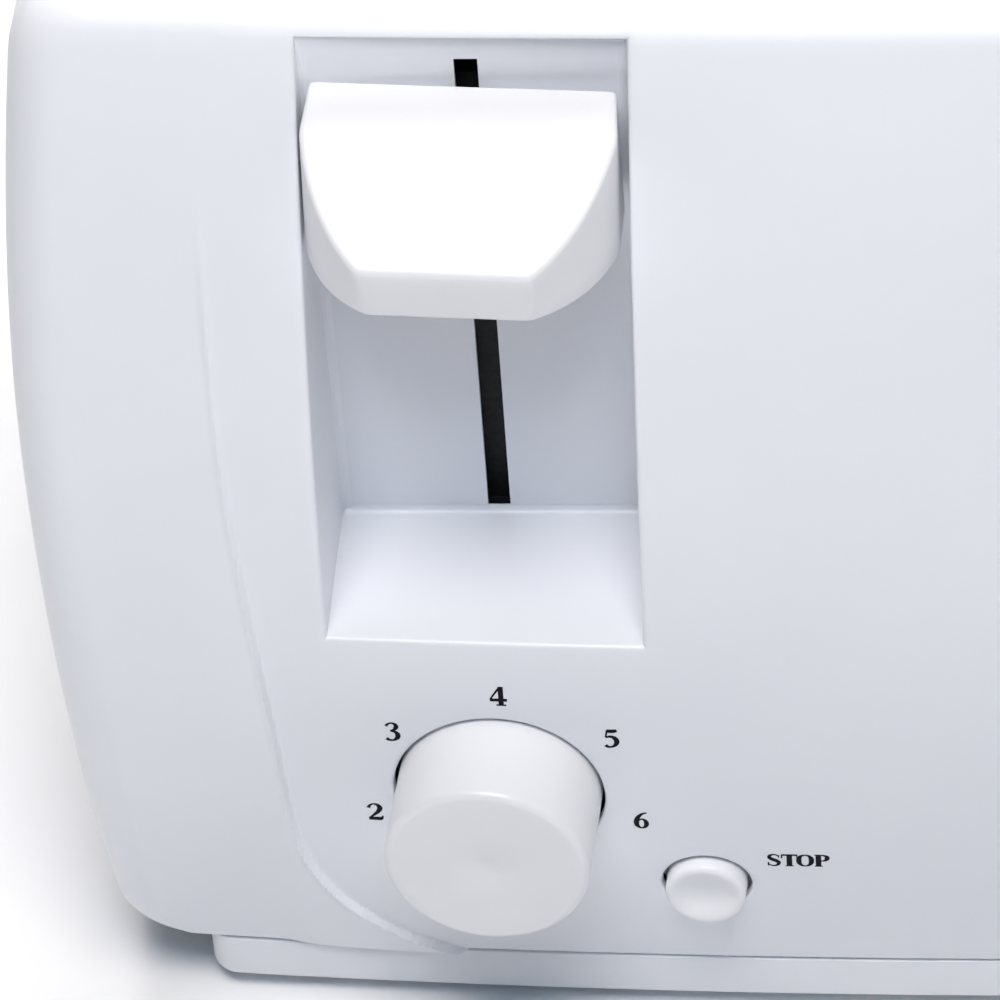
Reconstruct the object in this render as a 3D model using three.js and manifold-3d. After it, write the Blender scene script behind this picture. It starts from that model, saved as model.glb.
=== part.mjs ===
// Four-slice pop-up toaster with twin controls on one end face.
// Millimetres, +Z up, controls face -Y, +X to the right, origin at the centre of the footprint.
import * as THREE from "three";
import { mergeVertices } from "three/addons/utils/BufferGeometryUtils.js";
import Module from "manifold-3d";

const wasm = await Module();
wasm.setup();

// ---- driving dimensions -------------------------------------------------------------------

const GAP = 0.3; // clearance kept between neighbouring pieces
const WALL = 2.4; // moulded covers
const SHEET = 1.2; // pressed steel

const HALF_WIDTH = 140;
const TOP_Z = 185.5;
const SHELL_BOTTOM_Z = 12;
const FACE_Y = -126.4; // control face on a column's centre line, at knob height
const REAR_Y = 143.37;
const MID_Y = 8; // the front and rear insets fade out here
const CORNER_R = 9;
const TOP_ROLL = 11;
const BOTTOM_ROLL = 7;
const FRONT_SEAM_Y = -74;
const REAR_SEAM_Y = 110;

const COLUMN_X = 68; // each control column is centred on its half of the face
const COLUMN_TURN = THREE.MathUtils.degToRad(3.5); // knobs follow the bowed face
const KNOB_Z = 55;
const BOW = 0.00056; // curvature of the face in plan, 1/mm
const FACE_SLOPE = -0.0604; // face profile is a parabola about knob height
const FACE_CURVE = 0.00234;
const FACE_ROLL_Z = 179.3; // the face rolls over to the top from here

const POCKET_HALF_WIDTH = 24.3;
const POCKET_SHIFT = 0.45; // outward from the column's centre line
const POCKET_FLOOR_Z = 87;
const POCKET_TOP_Z = 180.5;
const POCKET_BACK_Y = FACE_Y + 30.5;
const POCKET_WALL = 2.2;
const LEVER_SLOT_HALF_WIDTH = 1.75;
const LEVER_SLOT_Z = [88.5, 176];

const LEVER_BACK = 1.5; // distances out from the pocket's back wall
const LEVER_FRONT = 29.8;
const LEVER_HALF_WIDTH = 23.4;
const LEVER_CORNER = [ // half outline of the top: nose end, control point, shoulder
  [12.7, LEVER_FRONT],
  [20.8, 22.5],
  [LEVER_HALF_WIDTH, 9],
];
const LEVER_LOW_CORNER = [
  [12.1, 28.5],
  [20.5, 24],
  [LEVER_HALF_WIDTH, 12.6],
];
const LEVER_BACK_Z = 172.6;
const LEVER_NOSE_Z = 159.8;
const LEVER_LOW_Z = 150.4;
const LEVER_WALL = 2.4;
const LEVER_SHIFT = 0.4; // outward from the column's centre line
const TONGUE_Z = [152, 166];

const KNOB_R = 16;
const KNOB_LENGTH = 16.1;
const KNOB_INSERTION = 4; // the knob's skirt reaches in through its hole
const KNOB_HOLE_R = 16.6;
const BUTTON_R = 6.4;
const BUTTON_HOLE_R = 7.1;
const BUTTON_OFFSET = 31.6; // inboard of the knob
const BUTTON_DROP = 21.2;
const BUTTON_PROUD = 2.9;
const BUTTON_SEAT = 3.3; // the face at the button lies this far behind the column's own plane

const SLOT_OFFSETS = [-25, 25]; // the bread slots of a column, either side of its centre
const SLOT_HALF_WIDTH = 15;
const GUARD_OFFSET = 13.6;
const SLOT_Y = [-63, 87];
const SLOT_CORNER_R = 5;
const SLOT_LIP_Z = 176;

const FRONT_BULKHEAD_Y = -78;
const REAR_BULKHEAD_Y = 104;
const BULKHEAD_HALF_WIDTH = 129;
const BULKHEAD_Z = [20, 172];
const BULKHEAD_LEG_HALF_WIDTH = 113;
const SHELF_Z = 173;

const RACK_Z = 92; // top of the raised rack
const RACK_HALF_WIDTH = 11;
const RACK_WIRES = 8;
const WIRE = 1.6;
const CROSSBAR_Y = -91.2;
const CROSSBAR_Z = [86, 98];
const GUIDE_ROD = { x: 15, y: -85.6, r: 2.5 };
const SPRING = { x: -15, y: -85.6, r: 3.4, wire: 0.5, turns: 9 };

const BASE_Z = 3;
const BASE_FLOOR_Z = 5.2;
const BASE_HALF_WIDTH = 119;
const BASE_CORNER_R = 5;
const BASE_FRONT_Y = FACE_Y + 5.6;
const BASE_REAR_Y = 134;
const TRAY_X = [4, 99];
const TRAY_FRONT_Y = -71;
const TRAY_Z = [5.5, 9.4];
const FOOT_X = 92;
const FOOT_Y = [-98, 116];
const POST_X = 106;
const POST_Y = [-107, 125];
const POST_TOP_Z = 36;

const CARD_OFFSETS = [-47, 0, 47]; // mica cards either side of and between a column's slots
const CARD_Z = [28, 165];
const RIBBON_ROWS = 6;
const RIBBON_Z = [40, 153];

// ---- looks --------------------------------------------------------------------------------

const LOOKS = {
  shell: { color: 0xeceef4, roughness: 0.34, metalness: 0 },
  control: { color: 0xf6f6fa, roughness: 0.3, metalness: 0 },
  base: { color: 0xe4e7ee, roughness: 0.4, metalness: 0 },
  steel: { color: 0xb9bcc0, roughness: 0.4, metalness: 1 },
  wire: { color: 0xc9ccd0, roughness: 0.3, metalness: 1 },
  mica: { color: 0xb8a98c, roughness: 0.6, metalness: 0 },
  ribbon: { color: 0x8d8478, roughness: 0.5, metalness: 1 },
  rubber: { color: 0x2a2a2c, roughness: 0.85, metalness: 0 },
  board: { color: 0x2f5d3a, roughness: 0.55, metalness: 0 },
  magnet: { color: 0x7c4a2a, roughness: 0.5, metalness: 0.3 },
};

// ---- solids -------------------------------------------------------------------------------

// A closed geometry as a solid that can be joined and cut.
function solid(geometry) {
  const bare = geometry.clone();
  bare.deleteAttribute("normal");
  bare.deleteAttribute("uv");
  const merged = mergeVertices(bare, 1e-4);
  return new wasm.Manifold(
    new wasm.Mesh({
      numProp: 3,
      vertProperties: new Float32Array(merged.attributes.position.array),
      triVerts: new Uint32Array(merged.index.array),
    }),
  );
}

function geometryOf(body) {
  const { vertProperties, triVerts } = body.getMesh();
  const geometry = new THREE.BufferGeometry();
  geometry.setAttribute("position", new THREE.BufferAttribute(vertProperties, 3));
  geometry.setIndex(new THREE.BufferAttribute(triVerts, 1));
  geometry.computeVertexNormals();
  return geometry;
}

function box([x0, x1], [y0, y1], [z0, z1]) {
  const geometry = new THREE.BoxGeometry(x1 - x0, y1 - y0, z1 - z0);
  geometry.translate((x0 + x1) / 2, (y0 + y1) / 2, (z0 + z1) / 2);
  return solid(geometry);
}

// A cylinder standing on Z between two heights.
function post(x, y, radius, [z0, z1], segments = 20) {
  const geometry = new THREE.CylinderGeometry(radius, radius, z1 - z0, segments);
  geometry.rotateX(Math.PI / 2);
  geometry.translate(x, y, (z0 + z1) / 2);
  return solid(geometry);
}

// A cylinder along Y, about the local origin of a control column.
function barrel(x, z, radius, [y0, y1], segments = 24) {
  const geometry = new THREE.CylinderGeometry(radius, radius, y1 - y0, segments);
  geometry.translate(x, (y0 + y1) / 2, z);
  return solid(geometry);
}

// A body turned about Y from [radius, y] points that start and end on the axis.
function turned(points, segments) {
  const profile = points.map(([r, y]) => new THREE.Vector2(r, y));
  return solid(new THREE.LatheGeometry(profile, segments));
}

function prism(shape, [z0, z1]) {
  const geometry = new THREE.ExtrudeGeometry(shape, {
    depth: z1 - z0,
    bevelEnabled: false,
    curveSegments: 3,
  });
  geometry.translate(0, 0, z0);
  return solid(geometry);
}

// A flat piece standing in the YZ plane: its shape's x runs along Y and its y up Z.
function panel(shape, [x0, x1]) {
  const geometry = new THREE.ExtrudeGeometry(shape, { depth: x1 - x0, bevelEnabled: false });
  const [x, y, z] = [0, 1, 2].map((i) => new THREE.Vector3().setComponent(i, 1));
  geometry.applyMatrix4(new THREE.Matrix4().makeBasis(y, z, x));
  geometry.translate(x0, 0, 0);
  return solid(geometry);
}

function roundedRectangle([x0, x1], [y0, y1], r) {
  const shape = new THREE.Shape();
  shape.moveTo(x0 + r, y0);
  shape.absarc(x1 - r, y0 + r, r, -Math.PI / 2, 0);
  shape.absarc(x1 - r, y1 - r, r, 0, Math.PI / 2);
  shape.absarc(x0 + r, y1 - r, r, Math.PI / 2, Math.PI);
  shape.absarc(x0 + r, y0 + r, r, Math.PI, Math.PI * 1.5);
  return shape;
}

const joined = (bodies) => bodies.reduce((sum, body) => sum.add(body));
const spaced = (count, [low, high]) =>
  Array.from({ length: count }, (_, i) => low + ((high - low) * i) / (count - 1));

// ---- outer shell --------------------------------------------------------------------------

// How far the control face lies behind its knob-height line, at height z.
function faceInset(z) {
  const rise = Math.min(z, FACE_ROLL_Z) - KNOB_Z;
  const inset = FACE_SLOPE * rise + FACE_CURVE * rise * rise;
  const lean = Math.atan(FACE_SLOPE + 2 * FACE_CURVE * (FACE_ROLL_Z - KNOB_Z));
  const rollRadius = (TOP_Z - FACE_ROLL_Z) / (1 - Math.sin(lean));
  const climb = Math.max(0, z - FACE_ROLL_Z) / rollRadius;
  const turn = Math.asin(Math.min(1, Math.sin(lean) + climb));
  return inset + rollRadius * (Math.cos(lean) - Math.cos(turn));
}

function rollInset(z) {
  const over = Math.max(0, z - (TOP_Z - TOP_ROLL));
  const under = Math.max(0, SHELL_BOTTOM_Z + BOTTOM_ROLL - z);
  const top = TOP_ROLL - Math.sqrt(Math.max(0, TOP_ROLL ** 2 - over ** 2));
  const bottom = BOTTOM_ROLL - Math.sqrt(Math.max(0, BOTTOM_ROLL ** 2 - under ** 2));
  return top + bottom;
}

const SIDE_TAPER = 6.5;
const SIDE_CROWN = 5;
const CROWN_START_Z = 105;
function sideInset(z) {
  const below = (TOP_Z - z) / (TOP_Z - SHELL_BOTTOM_Z);
  const above = Math.max(0, z - CROWN_START_Z) / (TOP_Z - CROWN_START_Z);
  return SIDE_TAPER * below ** 2 + SIDE_CROWN * above ** 2 + rollInset(z);
}

const REAR_LEAN = 9;
function rearInset(z) {
  const above = Math.max(0, z - KNOB_Z) / (TOP_Z - KNOB_Z);
  return REAR_LEAN * above ** 2 + rollInset(z);
}

function shellHeights() {
  const bottom = [0, 45].map(THREE.MathUtils.degToRad);
  const top = [0, 24, 48, 70, 90].map(THREE.MathUtils.degToRad);
  return [
    ...bottom.map((a) => SHELL_BOTTOM_Z + BOTTOM_ROLL * (1 - Math.cos(a))),
    ...spaced(7, [SHELL_BOTTOM_Z + BOTTOM_ROLL, TOP_Z - TOP_ROLL]).slice(0, -1),
    ...top.map((a) => TOP_Z - TOP_ROLL + TOP_ROLL * Math.sin(a)),
  ];
}

function planOutline({ halfWidth, frontY, rearY, cornerR }) {
  const reach = halfWidth - cornerR;
  const bowRadius = 1 / BOW;
  const halfAngle = Math.asin(reach / bowRadius);
  const cornerY = frontY + bowRadius * (1 - Math.cos(halfAngle)) + cornerR;
  const shape = new THREE.Shape();
  const down = -Math.PI / 2;
  shape.absarc(0, frontY + bowRadius, bowRadius, down - halfAngle, down + halfAngle);
  shape.absarc(reach, cornerY, cornerR, down, 0);
  shape.absarc(reach, rearY - cornerR, cornerR, 0, Math.PI / 2);
  shape.absarc(-reach, rearY - cornerR, cornerR, Math.PI / 2, Math.PI);
  shape.absarc(-reach, cornerY, cornerR, Math.PI, Math.PI * 1.5);
  return shape;
}

const FACE_APEX_Y = FACE_Y - (BOW * COLUMN_X ** 2) / 2;

// The toaster's full outer form, or its hollow when offset by the wall thickness.
function shellForm(offset) {
  const heights = shellHeights();
  const outline = planOutline({
    halfWidth: HALF_WIDTH - offset,
    frontY: FACE_APEX_Y + offset,
    rearY: REAR_Y - offset,
    cornerR: CORNER_R - offset,
  });
  const steps = heights.length - 1;
  const geometry = new THREE.ExtrudeGeometry(outline, {
    depth: steps,
    steps,
    bevelEnabled: false,
    curveSegments: 3,
  });
  const position = geometry.attributes.position;
  for (let i = 0; i < position.count; i++) {
    const x = position.getX(i);
    const y = position.getY(i);
    const z = heights[Math.round(position.getZ(i))];
    const towardsFront = Math.max(0, (MID_Y - y) / (MID_Y - FACE_APEX_Y));
    const towardsRear = Math.max(0, (y - MID_Y) / (REAR_Y - MID_Y));
    const shift = towardsFront * faceInset(z) - towardsRear * rearInset(z);
    position.setXYZ(i, x * (1 - sideInset(z) / HALF_WIDTH), y + shift, z - offset);
  }
  return solid(geometry);
}

const SHELL_FORM = shellForm(0);
const SHELL = SHELL_FORM.subtract(shellForm(WALL));
const FAR = 400;
const WIDE = [-FAR, FAR];

// A column's own upright frame is turned to follow the face, about its centre line.
function inColumn(body, side) {
  const turn = THREE.MathUtils.radToDeg(side * COLUMN_TURN);
  return body.rotate([0, 0, turn]).translate([side * COLUMN_X, FACE_Y, KNOB_Z]);
}

function coverPost(x, y, wallY) {
  const rib = box([x - 1.2, x + 1.2], [Math.min(y, wallY), Math.max(y, wallY)], [15, POST_TOP_Z]);
  const column = post(x, y, 4.4, [BASE_FLOOR_Z + GAP, POST_TOP_Z]);
  return rib.intersect(SHELL_FORM).add(column);
}

function screwHole(x, y) {
  return post(x, y, 1.6, [0, 32], 12);
}

function frontCover() {
  let cover = SHELL.intersect(box(WIDE, [-FAR, FRONT_SEAM_Y], WIDE));
  for (const side of [-1, 1]) {
    const x = side * COLUMN_X;
    const middle = side * (COLUMN_X + POCKET_SHIFT);
    const outer = POCKET_HALF_WIDTH + POCKET_WALL;
    const walls = box(
      [middle - outer, middle + outer],
      [-FAR, POCKET_BACK_Y + POCKET_WALL],
      [POCKET_FLOOR_Z - POCKET_WALL, POCKET_TOP_Z + POCKET_WALL],
    );
    const pocket = box(
      [middle - POCKET_HALF_WIDTH, middle + POCKET_HALF_WIDTH],
      [-FAR, POCKET_BACK_Y],
      [POCKET_FLOOR_Z, POCKET_TOP_Z],
    );
    const slot = box(
      [x - LEVER_SLOT_HALF_WIDTH, x + LEVER_SLOT_HALF_WIDTH],
      [-FAR, POCKET_BACK_Y + WALL + POCKET_WALL],
      LEVER_SLOT_Z,
    );
    const knobHole = barrel(0, 0, KNOB_HOLE_R, [-10, 9], 40);
    const buttonHole = barrel(-side * BUTTON_OFFSET, -BUTTON_DROP, BUTTON_HOLE_R, [-10, 9]);
    cover = cover
      .add(walls.intersect(SHELL_FORM))
      .subtract(pocket)
      .subtract(slot)
      .subtract(inColumn(knobHole.add(buttonHole), side));
    cover = cover
      .add(coverPost(side * POST_X, POST_Y[0], -FAR))
      .subtract(screwHole(side * POST_X, POST_Y[0]));
  }
  return cover;
}

const slotCentres = [-1, 1].flatMap((side) => SLOT_OFFSETS.map((o) => side * COLUMN_X + o));

function centreShell() {
  let shell = SHELL.intersect(box(WIDE, [FRONT_SEAM_Y + GAP, REAR_SEAM_Y - GAP], WIDE));
  const outline = (x, grow) =>
    roundedRectangle(
      [x - SLOT_HALF_WIDTH - grow, x + SLOT_HALF_WIDTH + grow],
      [SLOT_Y[0] - grow, SLOT_Y[1] + grow],
      SLOT_CORNER_R + grow,
    );
  for (const x of slotCentres) {
    shell = shell
      .add(prism(outline(x, WALL), [SLOT_LIP_Z, TOP_Z - WALL / 2]))
      .subtract(prism(outline(x, 0), [SLOT_LIP_Z - 1, TOP_Z + 1]));
  }
  return shell;
}

const BUSHING = { x: 84, z: 32, r: 7 };
const VENT_Z = [140, 160];
const VENT_XS = spaced(10, [-81, 81]);

function rearCover() {
  let cover = SHELL.intersect(box(WIDE, [REAR_SEAM_Y, FAR], WIDE));
  for (const side of [-1, 1]) {
    cover = cover
      .add(coverPost(side * POST_X, POST_Y[1], FAR))
      .subtract(screwHole(side * POST_X, POST_Y[1]));
  }
  for (const x of VENT_XS) {
    cover = cover.subtract(box([x - 2, x + 2], [REAR_SEAM_Y, FAR], VENT_Z));
  }
  return cover.subtract(barrel(BUSHING.x, BUSHING.z, BUSHING.r + GAP, [REAR_SEAM_Y, FAR], 20));
}

function cordBushing() {
  const collar = barrel(BUSHING.x, BUSHING.z, BUSHING.r + 1.8, [REAR_Y - 6, REAR_Y - WALL - 1], 20);
  const sleeve = barrel(BUSHING.x, BUSHING.z, BUSHING.r, [REAR_Y - 6, REAR_Y], 20);
  const bore = barrel(BUSHING.x, BUSHING.z, 4.2, [REAR_Y - FAR, REAR_Y + FAR], 20);
  return collar.add(sleeve).subtract(bore);
}

// ---- base ---------------------------------------------------------------------------------

function baseOutline(offset) {
  return planOutline({
    halfWidth: BASE_HALF_WIDTH - offset,
    frontY: BASE_FRONT_Y + offset,
    rearY: BASE_REAR_Y - offset,
    cornerR: BASE_CORNER_R - offset,
  });
}

function basePlinth() {
  let base = prism(baseOutline(0), [BASE_Z, SHELL_BOTTOM_Z - GAP]).subtract(
    prism(baseOutline(WALL), [BASE_FLOOR_Z, SHELL_BOTTOM_Z + 1]),
  );
  for (const side of [-1, 1]) {
    const [inner, outer] = TRAY_X;
    const mouth = [side * inner, side * outer].sort((a, b) => a - b);
    const opening = [mouth[0] - GAP, mouth[1] + GAP];
    base = base.subtract(box(opening, [BASE_REAR_Y - 6, FAR], [BASE_FLOOR_Z, TRAY_Z[1] + GAP]));
    for (const y of POST_Y) {
      base = base.subtract(screwHole(side * POST_X, y));
    }
    for (const y of FOOT_Y) {
      base = base.subtract(post(side * FOOT_X, y, 3 + GAP, [0, 8], 16));
    }
    for (const x of spaced(4, [24, 75])) {
      base = base.subtract(box([side * x - 1.5, side * x + 1.5], [-108, -84], [0, 8]));
    }
  }
  return base;
}

function foot() {
  const profile = [
    [0, 0],
    [8, 0],
    [9, 0.8],
    [9, BASE_Z - GAP],
    [3, BASE_Z - GAP],
    [3, BASE_FLOOR_Z - 0.2],
    [0, BASE_FLOOR_Z - 0.2],
  ];
  return turned(profile, 16).rotate([90, 0, 0]);
}

function baseScrew() {
  const profile = [
    [0, 0.8],
    [2.4, 0.8],
    [3.2, 1.5],
    [3.2, BASE_Z - GAP],
    [1.2, BASE_Z - GAP],
    [1.2, 29],
    [0, 31],
  ];
  const slot = box([-2, 2], [-0.4, 0.4], [0, 1.6]);
  return turned(profile, 12).rotate([90, 0, 0]).subtract(slot).subtract(slot.rotate([0, 0, 90]));
}

function crumbTray() {
  const width = TRAY_X[1] - TRAY_X[0];
  const x = [-width / 2, width / 2];
  const y = [TRAY_FRONT_Y, BASE_REAR_Y];
  const inset = 1;
  const pan = box(x, y, TRAY_Z);
  const hollow = box(
    [x[0] + inset, x[1] - inset],
    [y[0] + inset, y[1] - WALL],
    [TRAY_Z[0] + inset, TRAY_Z[1] + 1],
  );
  const pull = box([-16, 16], [BASE_REAR_Y - 1, BASE_REAR_Y + 6], [TRAY_Z[0], TRAY_Z[0] + 1.6]);
  return pan.subtract(hollow).add(pull);
}

// ---- chassis ------------------------------------------------------------------------------

function frontBulkhead() {
  const y = [FRONT_BULKHEAD_Y, FRONT_BULKHEAD_Y + SHEET];
  const foot = [BASE_FLOOR_Z + GAP, BASE_FLOOR_Z + GAP + SHEET];
  let plate = joined([
    box([-BULKHEAD_HALF_WIDTH, BULKHEAD_HALF_WIDTH], y, BULKHEAD_Z),
    box([-BULKHEAD_LEG_HALF_WIDTH, BULKHEAD_LEG_HALF_WIDTH], y, [foot[0], BULKHEAD_Z[0] + 1]),
    box([-BULKHEAD_LEG_HALF_WIDTH, BULKHEAD_LEG_HALF_WIDTH], [FRONT_BULKHEAD_Y - 5, y[1]], foot),
  ]);
  for (const side of [-1, 1]) {
    const x = side * COLUMN_X;
    const tab = box([x + 9, x + 21], [GUIDE_ROD.y - 5, y[1]], foot);
    const shelf = box([x - 21, x + 21], [GUIDE_ROD.y - 5.5, y[1]], [SHELF_Z, SHELF_Z + SHEET]);
    const web = box([x - 21, x + 21], y, [BULKHEAD_Z[1] - 1, SHELF_Z + SHEET]);
    plate = joined([plate, tab, shelf, web]);
  }
  for (const x of slotCentres) {
    plate = plate.subtract(box([x - 2.4, x + 2.4], [-FAR, FAR], [24, RACK_Z + 4]));
  }
  return plate;
}

function rearBulkhead() {
  const y = [REAR_BULKHEAD_Y, REAR_BULKHEAD_Y + SHEET];
  const leg = [BASE_FLOOR_Z + GAP, BULKHEAD_Z[0] + 1];
  let plate = joined([
    box([-BULKHEAD_HALF_WIDTH, BULKHEAD_HALF_WIDTH], y, BULKHEAD_Z),
    box([-2.5, 2.5], y, leg),
    box([-BULKHEAD_LEG_HALF_WIDTH, -TRAY_X[1] - 5], y, leg),
    box([TRAY_X[1] + 5, BULKHEAD_LEG_HALF_WIDTH], y, leg),
  ]);
  for (const x of VENT_XS) {
    plate = plate.subtract(box([x - 2, x + 2], [0, FAR], VENT_Z));
  }
  return plate;
}

function guideRod() {
  return post(0, 0, GUIDE_ROD.r, [BASE_FLOOR_Z + SHEET + 2 * GAP, SHELF_Z - GAP], 16);
}

class Helix extends THREE.Curve {
  constructor(radius, height, turns) {
    super();
    Object.assign(this, { radius, height, turns });
  }
  getPoint(t, target = new THREE.Vector3()) {
    const angle = 2 * Math.PI * this.turns * t;
    return target.set(
      this.radius * Math.cos(angle),
      this.radius * Math.sin(angle),
      this.height * t,
    );
  }
}

const SPRING_Z = [CROSSBAR_Z[1] + GAP + SPRING.wire, SHELF_Z - GAP - SPRING.wire];

function liftSpring() {
  const section = new THREE.Shape().absarc(0, 0, SPRING.wire, 0, 2 * Math.PI);
  const geometry = new THREE.ExtrudeGeometry(section, {
    steps: SPRING.turns * 8,
    curveSegments: 2,
    bevelEnabled: false,
    extrudePath: new Helix(SPRING.r, SPRING_Z[1] - SPRING_Z[0], SPRING.turns),
  });
  return solid(geometry);
}

function latchMagnet() {
  const y = -91;
  const yoke = box([-8.6, 8.6], [y - 7, y + 6.5], [BASE_FLOOR_Z + GAP, 9]);
  const coils = [-4.3, 4.3].map((x) => post(x, y, 4, [8.5, 24], 16));
  const poles = [-4.3, 4.3].map((x) => post(x, y, 2.4, [23, 27.4], 12));
  return joined([yoke, ...coils, ...poles]);
}

// Circuit board with the browning control's shaft and the stop button's switch, in column axes.
function controlBoard(side) {
  const x = [-34, 42].map((v) => -side * v).sort((a, b) => a - b);
  const board = box(x, [15, 16.6], [-38, 24]);
  const body = barrel(0, 0, 8, [8, 15.5], 20);
  const shaft = barrel(0, 0, 3, [-9, 9], 16);
  const switchX = -side * BUTTON_OFFSET;
  const tact = box([switchX - 5, switchX + 5], [13.8, 15.5], [-BUTTON_DROP - 5, -BUTTON_DROP + 5]);
  const relay = box([-side * 14 - 7, -side * 14 + 7], [9, 15.5], [-36, -20]);
  return joined([board, body, shaft, tact, relay]);
}

// ---- heating ------------------------------------------------------------------------------

const CARD_Y = [FRONT_BULKHEAD_Y + SHEET + GAP, REAR_BULKHEAD_Y - GAP];

function micaCard() {
  let card = box([-0.5, 0.5], CARD_Y, CARD_Z);
  for (const z of spaced(4, RIBBON_Z)) {
    for (const y of [SLOT_Y[0] - 4, SLOT_Y[1] + 4]) {
      card = card.subtract(box([-1, 1], [y - 1.5, y + 1.5], [z - 2, z + 2]));
    }
  }
  return card;
}

// Outline of a strip of constant width along a path that turns only at right angles.
function stripOutline(path, half) {
  const normals = path.slice(1).map((point, i) => {
    const along = point.clone().sub(path[i]).normalize();
    return new THREE.Vector2(-along.y, along.x);
  });
  const none = new THREE.Vector2();
  const edge = (sign) =>
    path.map((point, i) => {
      const miter = (normals[i - 1] ?? none).clone().add(normals[i] ?? none);
      return point.clone().addScaledVector(miter, sign * half);
    });
  return new THREE.Shape([...edge(1), ...edge(-1).reverse()]);
}

// A flat element strip laid to and fro across one face of a card, thickness along +X.
function heaterRibbon() {
  const ends = [SLOT_Y[0] + 3, SLOT_Y[1] - 3];
  const path = spaced(RIBBON_ROWS, RIBBON_Z).flatMap((z, i) => {
    const [from, to] = i % 2 ? [1, 0] : [0, 1];
    return [new THREE.Vector2(ends[from], z), new THREE.Vector2(ends[to], z)];
  });
  return panel(stripOutline(path, 1.2), [0, 0.6]);
}

// Upright wire grid that keeps a slice off the elements, thickness along X.
function breadGuard() {
  const z = [25, 168];
  const uprights = [CARD_Y[0], ...spaced(8, [SLOT_Y[0] + 2, SLOT_Y[1] - 2]), CARD_Y[1] - WIRE];
  let grid = box([-WIRE / 2, WIRE / 2], CARD_Y, z);
  uprights.slice(1).forEach((to, i) => {
    const window = [uprights[i] + WIRE, to];
    grid = grid.subtract(box([-WIRE, WIRE], window, [z[0] + WIRE, z[1] - WIRE]));
  });
  return grid;
}

// ---- moving pieces ------------------------------------------------------------------------

// Rack that a slice stands on; its tail passes through the bulkhead to the carriage.
function breadRack() {
  const tail = [CROSSBAR_Y + 1.6 + GAP, SLOT_Y[1] - 4];
  const spine = box([-1, 1], tail, [RACK_Z - 6, RACK_Z - 1]);
  const wires = spaced(RACK_WIRES, [SLOT_Y[0] + 4, SLOT_Y[1] - 5]).map((y) =>
    box([-RACK_HALF_WIDTH, RACK_HALF_WIDTH], [y - WIRE / 2, y + WIRE / 2], [RACK_Z - WIRE, RACK_Z]),
  );
  return joined([spine, ...wires]);
}

// Carriage about its column's centre: crossbar, spine, rod boss, spring lug, keeper and tongue.
function carriage() {
  const plate = [CROSSBAR_Y, CROSSBAR_Y + 1.6];
  const behind = [CROSSBAR_Y + 1.4, GUIDE_ROD.y + 4.2];
  const crossbar = box([-30, 30], plate, CROSSBAR_Z);
  const spine = box([-7, 7], plate, [CROSSBAR_Z[0], TONGUE_Z[1] + 4]);
  const boss = box([GUIDE_ROD.x - 4.6, GUIDE_ROD.x + 4.6], behind, [CROSSBAR_Z[0], 114]);
  const lug = box([SPRING.x - 4.6, SPRING.x + 4.6], behind, [CROSSBAR_Z[1] - 2, CROSSBAR_Z[1]]);
  const keeper = box([-8, 8], [-93.3, CROSSBAR_Y + 5], [CROSSBAR_Z[0] - 1.2, CROSSBAR_Z[0]]);
  const tongue = box([-0.8, 0.8], [POCKET_BACK_Y - 14, CROSSBAR_Y + 1], TONGUE_Z);
  const bore = post(GUIDE_ROD.x, GUIDE_ROD.y, GUIDE_ROD.r + GAP, [0, 200], 16);
  return joined([crossbar, spine, boss, lug, keeper, tongue]).subtract(bore);
}

// Outline of the lever paddle in plan, x across and y out of the pocket as -y.
function paddleOutline([nose, control, shoulder], offset) {
  const inward = ([x, out]) => [x - offset, -(out - offset)];
  const [tip, bend, side] = [inward(nose), inward(control), inward(shoulder)];
  const back = -LEVER_BACK - offset;
  const shape = new THREE.Shape();
  shape.moveTo(-side[0], back);
  shape.lineTo(-side[0], side[1]);
  shape.quadraticCurveTo(-bend[0], bend[1], -tip[0], tip[1]);
  shape.lineTo(tip[0], tip[1]);
  shape.quadraticCurveTo(bend[0], bend[1], side[0], side[1]);
  shape.lineTo(side[0], back);
  return shape;
}

// The paddle's form: a sloping top, a nose that leans in, and a level underside.
function paddleForm(offset) {
  const flat = (corner) =>
    new THREE.ExtrudeGeometry(paddleOutline(corner, offset), {
      depth: 1,
      bevelEnabled: false,
      curveSegments: 6,
    });
  const geometry = flat(LEVER_CORNER);
  const low = flat(LEVER_LOW_CORNER).attributes.position;
  const fall = (LEVER_BACK_Z - LEVER_NOSE_Z) / (LEVER_FRONT - LEVER_BACK);
  const position = geometry.attributes.position;
  for (let i = 0; i < position.count; i++) {
    const out = -position.getY(i);
    if (position.getZ(i) > 0.5) {
      position.setZ(i, LEVER_BACK_Z - offset - fall * (out - LEVER_BACK));
    } else {
      position.setXYZ(i, low.getX(i), low.getY(i), LEVER_LOW_Z - offset);
    }
  }
  return solid(geometry);
}

// The paddle faces the way the knobs do; the carriage's tongue enters it straight from behind.
function leverPaddle(side) {
  const socket = box([-4.4, 4.4], [-18, -LEVER_BACK - 0.3], [LEVER_LOW_Z + 0.6, LEVER_BACK_Z - 1]);
  const slit = box(
    [-0.8 - GAP, 0.8 + GAP],
    [-14 - GAP, 10],
    [TONGUE_Z[0] - GAP, TONGUE_Z[1] + GAP],
  );
  return paddleForm(0)
    .subtract(paddleForm(LEVER_WALL))
    .add(socket.intersect(paddleForm(0)))
    .rotate([0, 0, side * THREE.MathUtils.radToDeg(COLUMN_TURN)])
    .translate([side * LEVER_SHIFT, 0, 0])
    .subtract(slit);
}

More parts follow.
